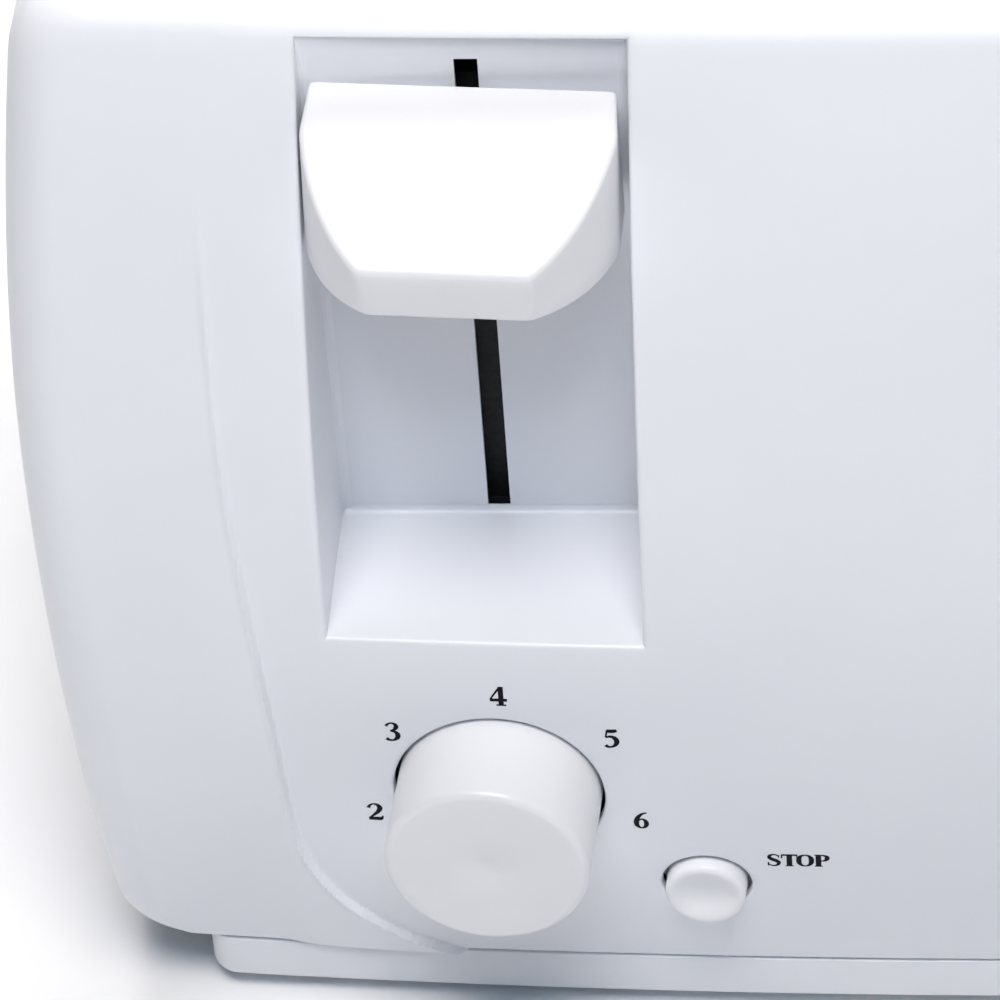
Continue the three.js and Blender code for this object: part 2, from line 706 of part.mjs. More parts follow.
// Browning knob in column axes: a deep cap with a hub for the control's shaft.
function browningKnob() {
  const face = -KNOB_LENGTH;
  const profile = [
    [0, -9.6],
    [3.3, -9.6],
    [3.3, 1],
    [5.2, 1],
    [5.2, face + 2.4],
    [KNOB_R - 2.2, face + 2.4],
    [KNOB_R - 2.2, KNOB_INSERTION],
    [KNOB_R, KNOB_INSERTION],
    [KNOB_R, face + 1.2],
    [KNOB_R - 0.35, face + 0.35],
    [KNOB_R - 1.2, face],
    [0, face],
  ];
  return turned(profile.reverse(), 30);
}

// Stop button in column axes, with a dished face and a retaining flange behind the cover.
function stopButton() {
  const face = -BUTTON_PROUD;
  const profile = [
    [0, face + 0.9],
    [3, face + 0.5],
    [4.8, face],
    [5.8, face + 0.2],
    [BUTTON_R, face + 0.9],
    [BUTTON_R, 4.4],
    [BUTTON_R + 1.4, 4.4],
    [BUTTON_R + 1.4, 5.6],
    [2.4, 5.6],
    [2.4, 7.6],
    [0, 7.6],
  ];
  return turned(profile, 16);
}

// ---- assembly -----------------------------------------------------------------------------

const toaster = new THREE.Group();

function place(name, body, look, parent = toaster, [x, y, z] = [0, 0, 0]) {
  const mesh = new THREE.Mesh(geometryOf(body), new THREE.MeshStandardMaterial(LOOKS[look]));
  mesh.name = name;
  mesh.position.set(x, y, z);
  parent.add(mesh);
  return mesh;
}

function columnGroup(side) {
  const group = new THREE.Group();
  group.position.set(side * COLUMN_X, FACE_Y, KNOB_Z);
  group.rotation.z = side * COLUMN_TURN;
  toaster.add(group);
  return group;
}

place("front_cover", frontCover(), "shell");
place("centre_shell", centreShell(), "shell");
place("rear_cover", rearCover(), "shell");
place("base_plinth", basePlinth(), "base");
place("cord_bushing", cordBushing(), "rubber");
place("front_bulkhead", frontBulkhead(), "steel");
place("rear_bulkhead", rearBulkhead(), "steel");

[-1, 1].forEach((side, row) => {
  const name = side < 0 ? "left" : "right";
  const x = side * COLUMN_X;
  const column = columnGroup(side);
  const trayX = (side * (TRAY_X[0] + TRAY_X[1])) / 2;

  place(`control_board_${name}`, controlBoard(side), "board", column);
  place(`browning_knob_${name}`, browningKnob(), "control", column);
  const button = [-side * BUTTON_OFFSET, BUTTON_SEAT, -BUTTON_DROP];
  place(`stop_button_${name}`, stopButton(), "control", column, button);

  place(`lever_paddle_${name}`, leverPaddle(side), "control", toaster, [x, POCKET_BACK_Y, 0]);
  place(`carriage_${name}`, carriage(), "steel", toaster, [x, 0, 0]);
  place(`guide_rod_${name}`, guideRod(), "wire", toaster, [x + GUIDE_ROD.x, GUIDE_ROD.y, 0]);
  const springSeat = [x + SPRING.x, SPRING.y, SPRING_Z[0]];
  place(`lift_spring_${name}`, liftSpring(), "wire", toaster, springSeat);
  place(`latch_magnet_${name}`, latchMagnet(), "magnet", toaster, [x, 0, 0]);
  place(`crumb_tray_${name}`, crumbTray(), "steel", toaster, [trayX, 0, 0]);

  CARD_OFFSETS.forEach((offset, i) => {
    place(`mica_card_${name}_${i + 1}`, micaCard(), "mica", toaster, [x + offset, 0, 0]);
  });
  const ribbonFaces = [
    [CARD_OFFSETS[0], 1],
    [CARD_OFFSETS[1], -1],
    [CARD_OFFSETS[1], 1],
    [CARD_OFFSETS[2], -1],
  ];
  ribbonFaces.forEach(([offset, facing], i) => {
    const at = x + offset + (facing > 0 ? 0.5 + GAP : -0.5 - GAP - 0.6);
    place(`heater_ribbon_${name}_${i + 1}`, heaterRibbon(), "ribbon", toaster, [at, 0, 0]);
  });
  SLOT_OFFSETS.forEach((offset, i) => {
    const slot = row * 2 + i + 1;
    for (const [edge, facing] of [["left", -1], ["right", 1]]) {
      const guardAt = [x + offset + facing * GUARD_OFFSET, 0, 0];
      place(`bread_guard_${slot}_${edge}`, breadGuard(), "wire", toaster, guardAt);
    }
    place(`bread_rack_${slot}`, breadRack(), "wire", toaster, [x + offset, 0, 0]);
  });
  ["front", "rear"].forEach((end, i) => {
    place(`foot_${end}_${name}`, foot(), "rubber", toaster, [side * FOOT_X, FOOT_Y[i], 0]);
    const screwAt = [side * POST_X, POST_Y[i], 0];
    place(`base_screw_${end}_${name}`, baseScrew(), "steel", toaster, screwAt);
  });
});

export default toaster;
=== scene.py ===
"""Looks of a four-slice pop-up toaster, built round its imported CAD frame.

Sizes are in millimetres until a mesh is made, and in metres from there on.
"""

import math

import bmesh
import bpy
import numpy as np
from mathutils import Matrix, Vector


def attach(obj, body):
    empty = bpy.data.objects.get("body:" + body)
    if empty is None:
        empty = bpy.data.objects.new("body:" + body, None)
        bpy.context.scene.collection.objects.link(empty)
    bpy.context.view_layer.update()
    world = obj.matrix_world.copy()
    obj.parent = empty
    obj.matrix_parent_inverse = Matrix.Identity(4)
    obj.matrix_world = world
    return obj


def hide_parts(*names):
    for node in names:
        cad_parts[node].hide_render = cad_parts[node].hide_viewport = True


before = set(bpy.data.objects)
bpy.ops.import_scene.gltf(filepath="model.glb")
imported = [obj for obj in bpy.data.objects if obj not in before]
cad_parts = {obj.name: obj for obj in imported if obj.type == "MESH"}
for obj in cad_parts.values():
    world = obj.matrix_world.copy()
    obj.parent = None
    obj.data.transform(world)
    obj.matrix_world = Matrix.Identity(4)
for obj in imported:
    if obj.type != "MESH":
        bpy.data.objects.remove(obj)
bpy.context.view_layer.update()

MM = 0.001
SIDES = (-1, 1)
SIDE_NAMES = {-1: "left", 1: "right"}

# ---- dimensions shared with the CAD --------------------------------------------------------

HALF_WIDTH = 140.0
TOP_Z = 185.5
SHELL_BOTTOM_Z = 12.0
FACE_Y = -126.4
REAR_Y = 143.37
MID_Y = 8.0
CORNER_R = 9.0
TOP_ROLL = 11.0
BOTTOM_ROLL = 7.0
SIDE_TAPER = 6.5
SIDE_CROWN = 5.0
CROWN_START_Z = 105.0
REAR_LEAN = 9.0
FRONT_SEAM_Y = -74.0
REAR_SEAM_Y = 110.0
GAP = 0.3
WALL = 2.4
FRONT_WALL = 2.2

COLUMN_X = 68.0
COLUMN_TURN = math.radians(3.5)
KNOB_Z = 55.0
BOW = 0.00056
FACE_SLOPE = -0.0604
FACE_CURVE = 0.00234
FACE_ROLL_Z = 179.3
FACE_APEX_Y = FACE_Y - BOW * COLUMN_X**2 / 2

POCKET_HALF_WIDTH = 24.3
POCKET_SHIFT = 0.45
POCKET_MIDDLE = COLUMN_X + POCKET_SHIFT
POCKET_Z = (87.0, 180.5)
POCKET_DEPTH = 30.5
POCKET_BACK_Y = FACE_Y + POCKET_DEPTH
LEVER_SLOT_HALF_WIDTH = 1.75
LEVER_SLOT_Z = (88.5, 176.0)

KNOB_R = 16.0
KNOB_LENGTH = 16.1
KNOB_HOLE_R = 16.6
BUTTON_R = 6.4
BUTTON_HOLE_R = 7.1
BUTTON_OFFSET = 31.6
BUTTON_DROP = 21.2
BUTTON_PROUD = 2.9
BUTTON_SEAT = 3.3

SLOT_HALF_WIDTH = 15.0
SLOT_Y = (-63.0, 87.0)
SLOT_CORNER_R = 5.0
SLOT_LIP_Z = 176.0
SLOT_OFFSETS = (-25, 25)
SLOT_CENTRES = [side * COLUMN_X + offset for side in SIDES for offset in SLOT_OFFSETS]

BASE_Z = 3.0
BASE_FLOOR_Z = 5.2
BASE_HALF_WIDTH = 119.0
BASE_CORNER_R = 5.0
BASE_FRONT_Y = FACE_Y + 5.6
BASE_REAR_Y = 134.0
TRAY_X = (4.0, 99.0)
TRAY_TOP_Z = 9.4
BUSHING = (84.0, 32.0, 7.0)  # x, z and radius of its hole
VENT_Z = (140.0, 160.0)
VENT_HALF_WIDTH = 2
VENT_XS = np.linspace(-81, 81, 10)


def smooth(low, high, value):
    """0 below low, 1 above high, and an S curve between them."""
    t = np.clip((np.asarray(value, float) - low) / (high - low), 0, 1)
    return t * t * (3 - 2 * t)


# ---- materials -----------------------------------------------------------------------------


def node(tree, kind, **values):
    made = tree.nodes.new(kind)
    for key, value in values.items():
        if key in made.inputs:
            made.inputs[key].default_value = value
        else:
            setattr(made, key, value)
    return made


def noise(tree, scale, detail=3.0, stretch=None):
    """Noise in the piece's own space, scale in cycles a metre."""
    coordinates = tree.nodes.new("ShaderNodeTexCoord")
    made = node(tree, "ShaderNodeTexNoise", Scale=scale, Detail=detail, Roughness=0.55)
    source = coordinates.outputs["Object"]
    if stretch:
        mapping = node(tree, "ShaderNodeMapping", Scale=stretch)
        tree.links.new(source, mapping.inputs["Vector"])
        source = mapping.outputs["Vector"]
    tree.links.new(source, made.inputs["Vector"])
    return made.outputs["Fac"]


def ramp(tree, source, stops):
    """A ramp from (position, colour) stops, driven by source."""
    made = tree.nodes.new("ShaderNodeValToRGB")
    elements = made.color_ramp.elements
    while len(elements) < len(stops):
        elements.new(0.5)
    for element, (position, colour) in zip(elements, stops):
        element.position = position
        element.color = (*colour, 1) if len(colour) == 3 else (colour[0],) * 3 + (1,)
    tree.links.new(source, made.inputs["Fac"])
    return made.outputs["Color"]


def material(name, colours, roughness, grain, height, metallic=0.0, stretch=None, **extra):
    """A finish whose colour, gloss and relief all vary: colours and roughness are (low, high) pairs."""
    made = bpy.data.materials.new(name)
    made.use_nodes = True
    tree = made.node_tree
    shader = tree.nodes["Principled BSDF"]
    shader.inputs["Metallic"].default_value = metallic
    for key, value in extra.items():
        shader.inputs[key.replace("_", " ")].default_value = value
    broad = noise(tree, 28, 2.0, stretch)
    fine = noise(tree, grain, 2.0, stretch)
    tree.links.new(ramp(tree, broad, [(0.3, colours[0]), (0.7, colours[1])]), shader.inputs["Base Color"])
    gloss = ramp(tree, fine, [(0.3, (roughness[0],)), (0.7, (roughness[1],))])
    tree.links.new(gloss, shader.inputs["Roughness"])
    bump = node(tree, "ShaderNodeBump", Strength=0.12, Distance=height * MM)
    tree.links.new(fine, bump.inputs["Height"])
    tree.links.new(bump.outputs["Normal"], shader.inputs["Normal"])
    return made


SHELL = material(
    "shell_plastic", [(0.82, 0.84, 0.88), (0.84, 0.857, 0.895)], (0.3, 0.4), 420, 0.006,
    IOR=1.49, Coat_Weight=0.12, Coat_Roughness=0.2,
)
CONTROL = material(
    "control_plastic", [(0.84, 0.847, 0.87), (0.86, 0.865, 0.885)], (0.32, 0.4), 380, 0.003,
    IOR=1.49, Coat_Weight=0.15, Coat_Roughness=0.18,
)
BASE = material("base_plastic", [(0.82, 0.84, 0.875), (0.845, 0.86, 0.89)], (0.38, 0.5), 450, 0.008, IOR=1.49)
STEEL = material(
    "steel", [(0.5, 0.51, 0.52), (0.6, 0.605, 0.61)], (0.28, 0.46), 1500, 0.01, 1.0, (1, 0.08, 1)
)
WIRE = material("wire", [(0.6, 0.61, 0.62), (0.7, 0.7, 0.71)], (0.2, 0.34), 1800, 0.01, 1.0)
MICA = material("mica", [(0.42, 0.36, 0.26), (0.56, 0.5, 0.39)], (0.4, 0.62), 420, 0.06, 0.0, (1, 1, 0.5))
STRIP = material("heater_strip", [(0.24, 0.2, 0.17), (0.36, 0.31, 0.27)], (0.4, 0.6), 1300, 0.02, 0.9)
COPPER = material("copper", [(0.32, 0.12, 0.05), (0.5, 0.2, 0.09)], (0.3, 0.5), 1600, 0.05, 0.6, (1, 1, 6))
BOARD = material("circuit_board", [(0.03, 0.12, 0.055), (0.05, 0.17, 0.08)], (0.35, 0.55), 700, 0.03)
RUBBER = material("rubber", [(0.018, 0.018, 0.02), (0.03, 0.03, 0.032)], (0.6, 0.8), 1400, 0.06)
# Steel painted near black as shade: the parts seen through the lever slots are darkened so the slots read as
# dark shadow.
SLOT_SHADE_STEEL = material(
    "steel_painted_slot_shade", [(0.012, 0.012, 0.014), (0.022, 0.022, 0.025)], (0.5, 0.7), 900, 0.01, 0.3
)
INK = material(
    "print_ink", [(0.004, 0.004, 0.008), (0.007, 0.007, 0.012)], (0.55, 0.7), 1500, 0.01,
    Specular_IOR_Level=0.1,
)  # fmt: skip
FLOOR = material("floor_paper", [(0.9, 0.905, 0.915), (0.93, 0.932, 0.94)], (0.7, 0.85), 500, 0.05)

# ---- mesh helpers --------------------------------------------------------------------------


def mesh_object(name, vertices, faces, finish, body, replaced=(), sharp=30, weld=2e-6):
    """A closed piece from millimetre vertices, riding on its body."""
    mesh = bpy.data.meshes.new(name)
    mesh.from_pydata((np.asarray(vertices, float) * MM).tolist(), [], [list(f) for f in faces])
    work = bmesh.new()
    work.from_mesh(mesh)
    bmesh.ops.remove_doubles(work, verts=work.verts, dist=weld)
    bmesh.ops.dissolve_degenerate(work, edges=work.edges, dist=weld)
    bmesh.ops.recalc_face_normals(work, faces=work.faces)
    for face in work.faces:
        face.smooth = True
    work.to_mesh(mesh)
    work.free()
    mesh.set_sharp_from_angle(angle=math.radians(sharp))
    made = bpy.data.objects.new(name, mesh)
    bpy.context.scene.collection.objects.link(made)
    mesh.materials.append(finish)
    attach(made, body)
    if replaced:
        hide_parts(*replaced)
    return made


class Skin:
    """Two sheets of vertices, outer and inner, over one set of faces.

    Closing it joins the sheets at every free edge.
    """

    def __init__(self):
        self.outer, self.inner, self.faces = [], [], []
        self.count = 0

    def add(self, outer, inner):
        outer, inner = np.reshape(outer, (-1, 3)), np.reshape(inner, (-1, 3))
        self.outer.append(outer)
        self.inner.append(inner)
        first = self.count
        self.count += len(outer)
        return first

    def grid(self, outer, inner, skipped):
        """Adds a sheet of columns by rows. skipped(i, j) says which cells are left open."""
        columns, rows = outer.shape[:2]
        first = self.add(outer, inner)
        index = first + np.arange(columns * rows).reshape(columns, rows)
        for i in range(columns - 1):
            for j in range(rows - 1):
                if not skipped(i, j):
                    self.faces.append((index[i, j], index[i + 1, j], index[i + 1, j + 1], index[i, j + 1]))
        return index

    def rings(self, loop, outer_rings, inner_rings, closed=True):
        """Adds rings of faces from a loop of vertices inwards."""
        turn = len(loop) if closed else len(loop) - 1
        for outer, inner in zip(outer_rings, inner_rings):
            first = self.add(outer, inner)
            ring = [first + k for k in range(len(loop))]
            for k in range(turn):
                n = (k + 1) % len(loop)
                self.faces.append((loop[k], loop[n], ring[n], ring[k]))
            loop = ring
        return loop

    def close(self):
        outer, inner = np.concatenate(self.outer), np.concatenate(self.inner)
        used = {}
        for face in self.faces:
            for a, b in zip(face, (*face[1:], face[0])):
                used[(a, b)] = used.get((a, b), 0) + 1
        shift = len(outer)
        rim = [(b, a, a + shift, b + shift) for a, b in used if (b, a) not in used]
        back = [tuple(v + shift for v in reversed(face)) for face in self.faces]
        return np.concatenate([outer, inner]), self.faces + back + rim


def cell_loop(index, i0, i1, j0, j1):
    """The vertices round a block of grid cells, anticlockwise, and the (i, j) of each."""
    path = [(i, j0) for i in range(i0, i1)] + [(i1, j) for j in range(j0, j1)]
    path += [(i, j1) for i in range(i1, i0, -1)] + [(i0, j) for j in range(j1, j0, -1)]
    return [index[i, j] for i, j in path], path


def lathe(profile, segments):
    """Vertices and faces of a body turned about -Y from (radius, y) points that start and end on the axis."""
    inner = profile[1:-1]
    angles = np.linspace(0, 2 * math.pi, segments, endpoint=False)
    rings = [[(r * math.cos(a), y, r * math.sin(a)) for a in angles] for r, y in inner]
    vertices = [(0, profile[0][1], 0), (0, profile[-1][1], 0)] + [p for ring in rings for p in ring]

    def at(ring, k):
        return 2 + ring * segments + k % segments

    faces = []
    for k in range(segments):
        faces.append((0, at(0, k), at(0, k + 1)))
        faces.append((1, at(len(inner) - 1, k + 1), at(len(inner) - 1, k)))
        for ring in range(len(inner) - 1):
            faces.append((at(ring, k), at(ring + 1, k), at(ring + 1, k + 1), at(ring, k + 1)))
    return np.array(vertices, float), faces


def arc(centre, radius, start, end, steps):
    """Points on an arc, angles in degrees."""
    angles = np.radians(np.linspace(start, end, steps + 1))
    return [(centre[0] + radius * math.cos(a), centre[1] + radius * math.sin(a)) for a in angles]


def to_column(points, side, dx=0.0, dy=0.0, dz=0.0):
    """Points in a control column's own turned axes, moved to the row frame."""
    points = np.asarray(points, float) + (dx, dy, dz)
    turn = side * COLUMN_TURN
    x = points[:, 0] * math.cos(turn) - points[:, 1] * math.sin(turn)
    y = points[:, 0] * math.sin(turn) + points[:, 1] * math.cos(turn)
    return np.stack([x + side * COLUMN_X, y + FACE_Y, points[:, 2] + KNOB_Z], 1)


# ---- form of the shell ---------------------------------------------------------------------


def face_inset(z):
    rise = np.minimum(z, FACE_ROLL_Z) - KNOB_Z
    lean = math.atan(FACE_SLOPE + 2 * FACE_CURVE * (FACE_ROLL_Z - KNOB_Z))
    radius = (TOP_Z - FACE_ROLL_Z) / (1 - math.sin(lean))
    climb = np.maximum(0, z - FACE_ROLL_Z) / radius
    turn = np.arcsin(np.minimum(1, math.sin(lean) + climb))
    return FACE_SLOPE * rise + FACE_CURVE * rise**2 + radius * (math.cos(lean) - np.cos(turn))


def roll_inset(z):
    over = np.maximum(0, z - (TOP_Z - TOP_ROLL))
    under = np.maximum(0, SHELL_BOTTOM_Z + BOTTOM_ROLL - z)
    top = TOP_ROLL - np.sqrt(np.maximum(0, TOP_ROLL**2 - over**2))
    return top + BOTTOM_ROLL - np.sqrt(np.maximum(0, BOTTOM_ROLL**2 - under**2))


def side_inset(z):
    below = (TOP_Z - z) / (TOP_Z - SHELL_BOTTOM_Z)
    above = np.maximum(0, z - CROWN_START_Z) / (TOP_Z - CROWN_START_Z)
    return SIDE_TAPER * below**2 + SIDE_CROWN * above**2 + roll_inset(z)


def rear_inset(z):
    above = np.maximum(0, z - KNOB_Z) / (TOP_Z - KNOB_Z)
    return REAR_LEAN * above**2 + roll_inset(z)


SEAM_ROUND = 0.5
FOOT_ROUND = 0.7  # the face turns under at its lower edge


def foot_inset(z):
    under = np.clip(SHELL_BOTTOM_Z + FOOT_ROUND - z, 0, FOOT_ROUND)
    return FOOT_ROUND - np.sqrt(FOOT_ROUND**2 - under**2)


CREASE = [  # x and z along the left panel edge, from its top
    (-109.4, 163), (-108.96, 155.1), (-108.4, 150.0), (-107.5, 128.1), (-106.6, 111.6),
    (-104.7, 90.0), (-102.6, 65.6), (-101.6, 49.2), (-100.1, 39.2), (-94.8, 27.2), (-86.7, 18.0),
    (-80.5, 14.0), (-74.2, 11.2), (-66, 8.5),
]  # fmt: skip


def spline(points, steps):
    """A smooth line through points (centripetal Catmull-Rom)."""
    points = [np.array(p, float) for p in points]
    points = [2 * points[0] - points[1], *points, 2 * points[-1] - points[-2]]
    line = []
    for p0, p1, p2, p3 in zip(points, points[1:], points[2:], points[3:]):
        t = [0.0]
        for a, b in ((p0, p1), (p1, p2), (p2, p3)):
            t.append(t[-1] + np.linalg.norm(b - a) ** 0.5)
        for u in np.linspace(t[1], t[2], steps, endpoint=False):
            a1 = (t[1] - u) / (t[1] - t[0]) * p0 + (u - t[0]) / (t[1] - t[0]) * p1
            a2 = (t[2] - u) / (t[2] - t[1]) * p1 + (u - t[1]) / (t[2] - t[1]) * p2
            a3 = (t[3] - u) / (t[3] - t[2]) * p2 + (u - t[2]) / (t[3] - t[2]) * p3
            b1 = (t[2] - u) / (t[2] - t[0]) * a1 + (u - t[0]) / (t[2] - t[0]) * a2
            b2 = (t[3] - u) / (t[3] - t[1]) * a2 + (u - t[1]) / (t[3] - t[1]) * a3
            line.append((t[2] - u) / (t[2] - t[1]) * b1 + (u - t[1]) / (t[2] - t[1]) * b2)
    return np.array([*line, points[-2]])


CREASE_LINE = spline(CREASE, 16)
CREASE_STEP = 1.3
CREASE_GROWS = (150, 45)  # heights over which the step grows to its full depth
CREASE_FADE = (1, 24)  # distances outwards over which most of it dies away
RIDGE_HEIGHT, RIDGE_WIDTH, RIDGE_AT = 0.35, 0.6, 0.4
RIDGE_ENDS = (164, 140)


def crease_inset(x, z):
    """The outer band of the face stands a little proud of the panel; the step grows downwards."""
    x = -np.abs(x)
    near = (x < -62) & (z < 165)
    result = np.zeros(x.shape)
    if not near.any():
        return result
    x, z = x[near], z[near]
    start, end = CREASE_LINE[:-1], CREASE_LINE[1:]
    along = end - start
    best = np.full(len(x), 1e9)
    signed = np.zeros(len(x))
    for s, d in zip(start, along):
        px, pz = x - s[0], z - s[1]
        t = np.clip((px * d[0] + pz * d[1]) / (d @ d), 0, 1)
        qx, qz = px - t * d[0], pz - t * d[1]
        distance = np.hypot(qx, qz)
        nearer = distance < best
        side = np.sign(d[0] * pz - d[1] * px)
        best = np.where(nearer, distance, best)
        signed = np.where(nearer, side * distance, signed)
    outside = -signed  # positive on the outer band
    depth = CREASE_STEP * smooth(*CREASE_GROWS, z)
    band = smooth(-0.3, 0.4, outside) * (1 - 0.8 * smooth(*CREASE_FADE, outside))
    ridge = RIDGE_HEIGHT * np.exp(-(((outside - RIDGE_AT) / RIDGE_WIDTH) ** 2)) * smooth(*RIDGE_ENDS, z)
    result[near] = -(depth * band + ridge)
    return result


# ---- end covers ----------------------------------------------------------------------------


SQUEEZE_X = (98, 118)  # the face takes up the sides' taper between these
OFFSET_BLEND = 18  # height over which the inner sheet's offset grows


def profile_height(z, off):
    """The height whose profile a sheet follows; the inner sheet reads it a wall higher."""
    return z + off * smooth(SHELL_BOTTOM_Z, SHELL_BOTTOM_Z + OFFSET_BLEND, z)


class Cover:
    """An end cover in axes where its face looks towards -Y: front as it stands, rear turned half round."""

    def __init__(self, apex, seam, bow, inset, fade, pockets=()):
        self.apex, self.seam, self.bow = apex, seam, bow
        self.inset, self.fade, self.pockets = inset, fade, pockets
        self.reach = HALF_WIDTH - CORNER_R
        self.edge_angle = math.atan(bow * (self.reach + 1.5))
        self.edge_x = self.reach + CORNER_R * math.sin(self.edge_angle)
        self.corner_y = apex + bow * self.edge_x**2 / 2 + CORNER_R * math.cos(self.edge_angle)

    def surface(self, x, z, off):
        """y of the face at x and z; off moves it in by the wall."""
        height = profile_height(z, off)
        plan = self.apex + off + self.bow * x**2 / 2
        toward = np.clip((self.fade - plan) / (self.fade - self.apex), 0, 1)
        y = plan + toward * self.inset(height)
        if off == 0 and self.pockets:
            y = y + foot_inset(z) + crease_inset(x + 0 * z, z + 0 * x)
        return y

    def squeeze(self, x, z, off):
        """The sides' taper and roll, which reach the face only beside its corners."""
        height = profile_height(z, off)
        share = smooth(*SQUEEZE_X, np.abs(x))
        return x * (1 - share * side_inset(height) / HALF_WIDTH)

    def side_point(self, x, y, z, off):
        height = profile_height(z, off)
        edge_y = self.apex + off + self.bow * self.edge_x**2 / 2
        reach = self.seam - SEAM_ROUND - edge_y
        shift = (self.fade - edge_y) / (self.fade - self.apex) * self.inset(height)
        power = np.clip(0.95 * reach / np.maximum(shift, 1), 1, 2)  # the shift dies out before the seam
        share = np.clip((y - edge_y) / reach, 0, 1)
        moved = y + shift * (1 - share**power)
        return np.stack([x * (1 - side_inset(height) / HALF_WIDTH), moved, z + 0 * moved], -1)

    def with_wings(self, grid, z, off, steps):
        """The face's columns, with those round its corners and along its sides added at each end."""
        radius = CORNER_R - off
        wings = {}
        for side in SIDES:
            wing = []
            for angle in np.linspace(self.edge_angle, math.pi / 2, 19)[1:]:
                x = side * (self.reach + radius * math.sin(angle))
                wing.append(self.side_point(x, self.corner_y - radius * math.cos(angle), z, off))
            for y in np.linspace(self.corner_y, self.seam - SEAM_ROUND, steps)[1:]:
                wing.append(self.side_point(side * (HALF_WIDTH - off), y, z, off))
            wing[-1][:, 1] = self.seam - SEAM_ROUND
            wings[side] = wing
        return np.array(wings[-1][::-1] + grid + wings[1])


def spread(*regions):
    """Values through (start, end, spacing) regions, each end shared with the next start."""
    values = [regions[0][0]]
    for start, end, spacing in regions:
        steps = max(1, round(abs(end - start) / spacing))
        values += list(np.linspace(start, end, steps + 1)[1:])
    return values


MOUTH_R = 0.8
INNER_MOUTH_R = 0.3
POCKET_FILLET = 1.5
MOUTH_ANGLES = np.radians([0, 22.5, 45, 67.5, 90])
WALL_SHARES = (0.25, 0.5, 0.75)
FILLET_ANGLES = np.radians([0, 30, 60, 90])


def pocket_edge(at, facing):
    """Lines across one edge of a pocket; facing is +1 where the pocket lies at larger values."""
    lines = [("mouth", at, facing, t) for t in MOUTH_ANGLES]
    lines += [("wall", at, facing, f) for f in WALL_SHARES]
    lines += [("fillet", at, facing, t) for t in FILLET_ANGLES]
    return lines if facing > 0 else lines[::-1]


def edge_shift(line, off, mouth, fillet):
    """Where a pocket edge line lies across the edge."""
    kind, at, facing, t = line
    at = at - facing * off
    if kind == "mouth":
        return at + facing * mouth * (math.sin(t) - 1)
    if kind == "wall":
        return at + 0 * mouth
    return at + facing * fillet * (1 - math.cos(t))


def edge_depth(line, full, mouth, fillet):
    """How deep a line lies in a pocket of some full depth."""
    kind, t = line[0], line[-1]
    if kind == "plain":
        return 0 * full
    if kind == "back":
        return full
    if kind == "mouth":
        return mouth * (1 - math.cos(t))
    if kind == "wall":
        return mouth + t * (full - mouth - fillet)
    return full - fillet * (1 - math.sin(t))


def remap(value, off, edges, low, high):
    """Where a plain line lies on the inner sheet, so that it keeps clear of the thickened pocket walls."""
    known, moved = [low], [low]
    for at, facing in edges:
        pair = [
            (at - facing * MOUTH_R, at - facing * (off + INNER_MOUTH_R)),
            (at + facing * POCKET_FILLET, at - facing * (off - POCKET_FILLET)),
        ]
        for a, b in sorted(pair):
            known.append(a)
            moved.append(b)
    known.append(high[0])
    moved.append(high[1])
    return float(np.interp(value, known, moved))


def nearest(values, wanted):
    """Index of the value closest to the one wanted, passing over the Nones."""
    return int(np.argmin([abs(v - wanted) if v is not None else 1e9 for v in values]))


FRONT = Cover(FACE_APEX_Y, FRONT_SEAM_Y, BOW, face_inset, MID_Y, pockets=SIDES)
PLAIN_KINDS = ("plain", "back")  # lines that don't cross a pocket's edge


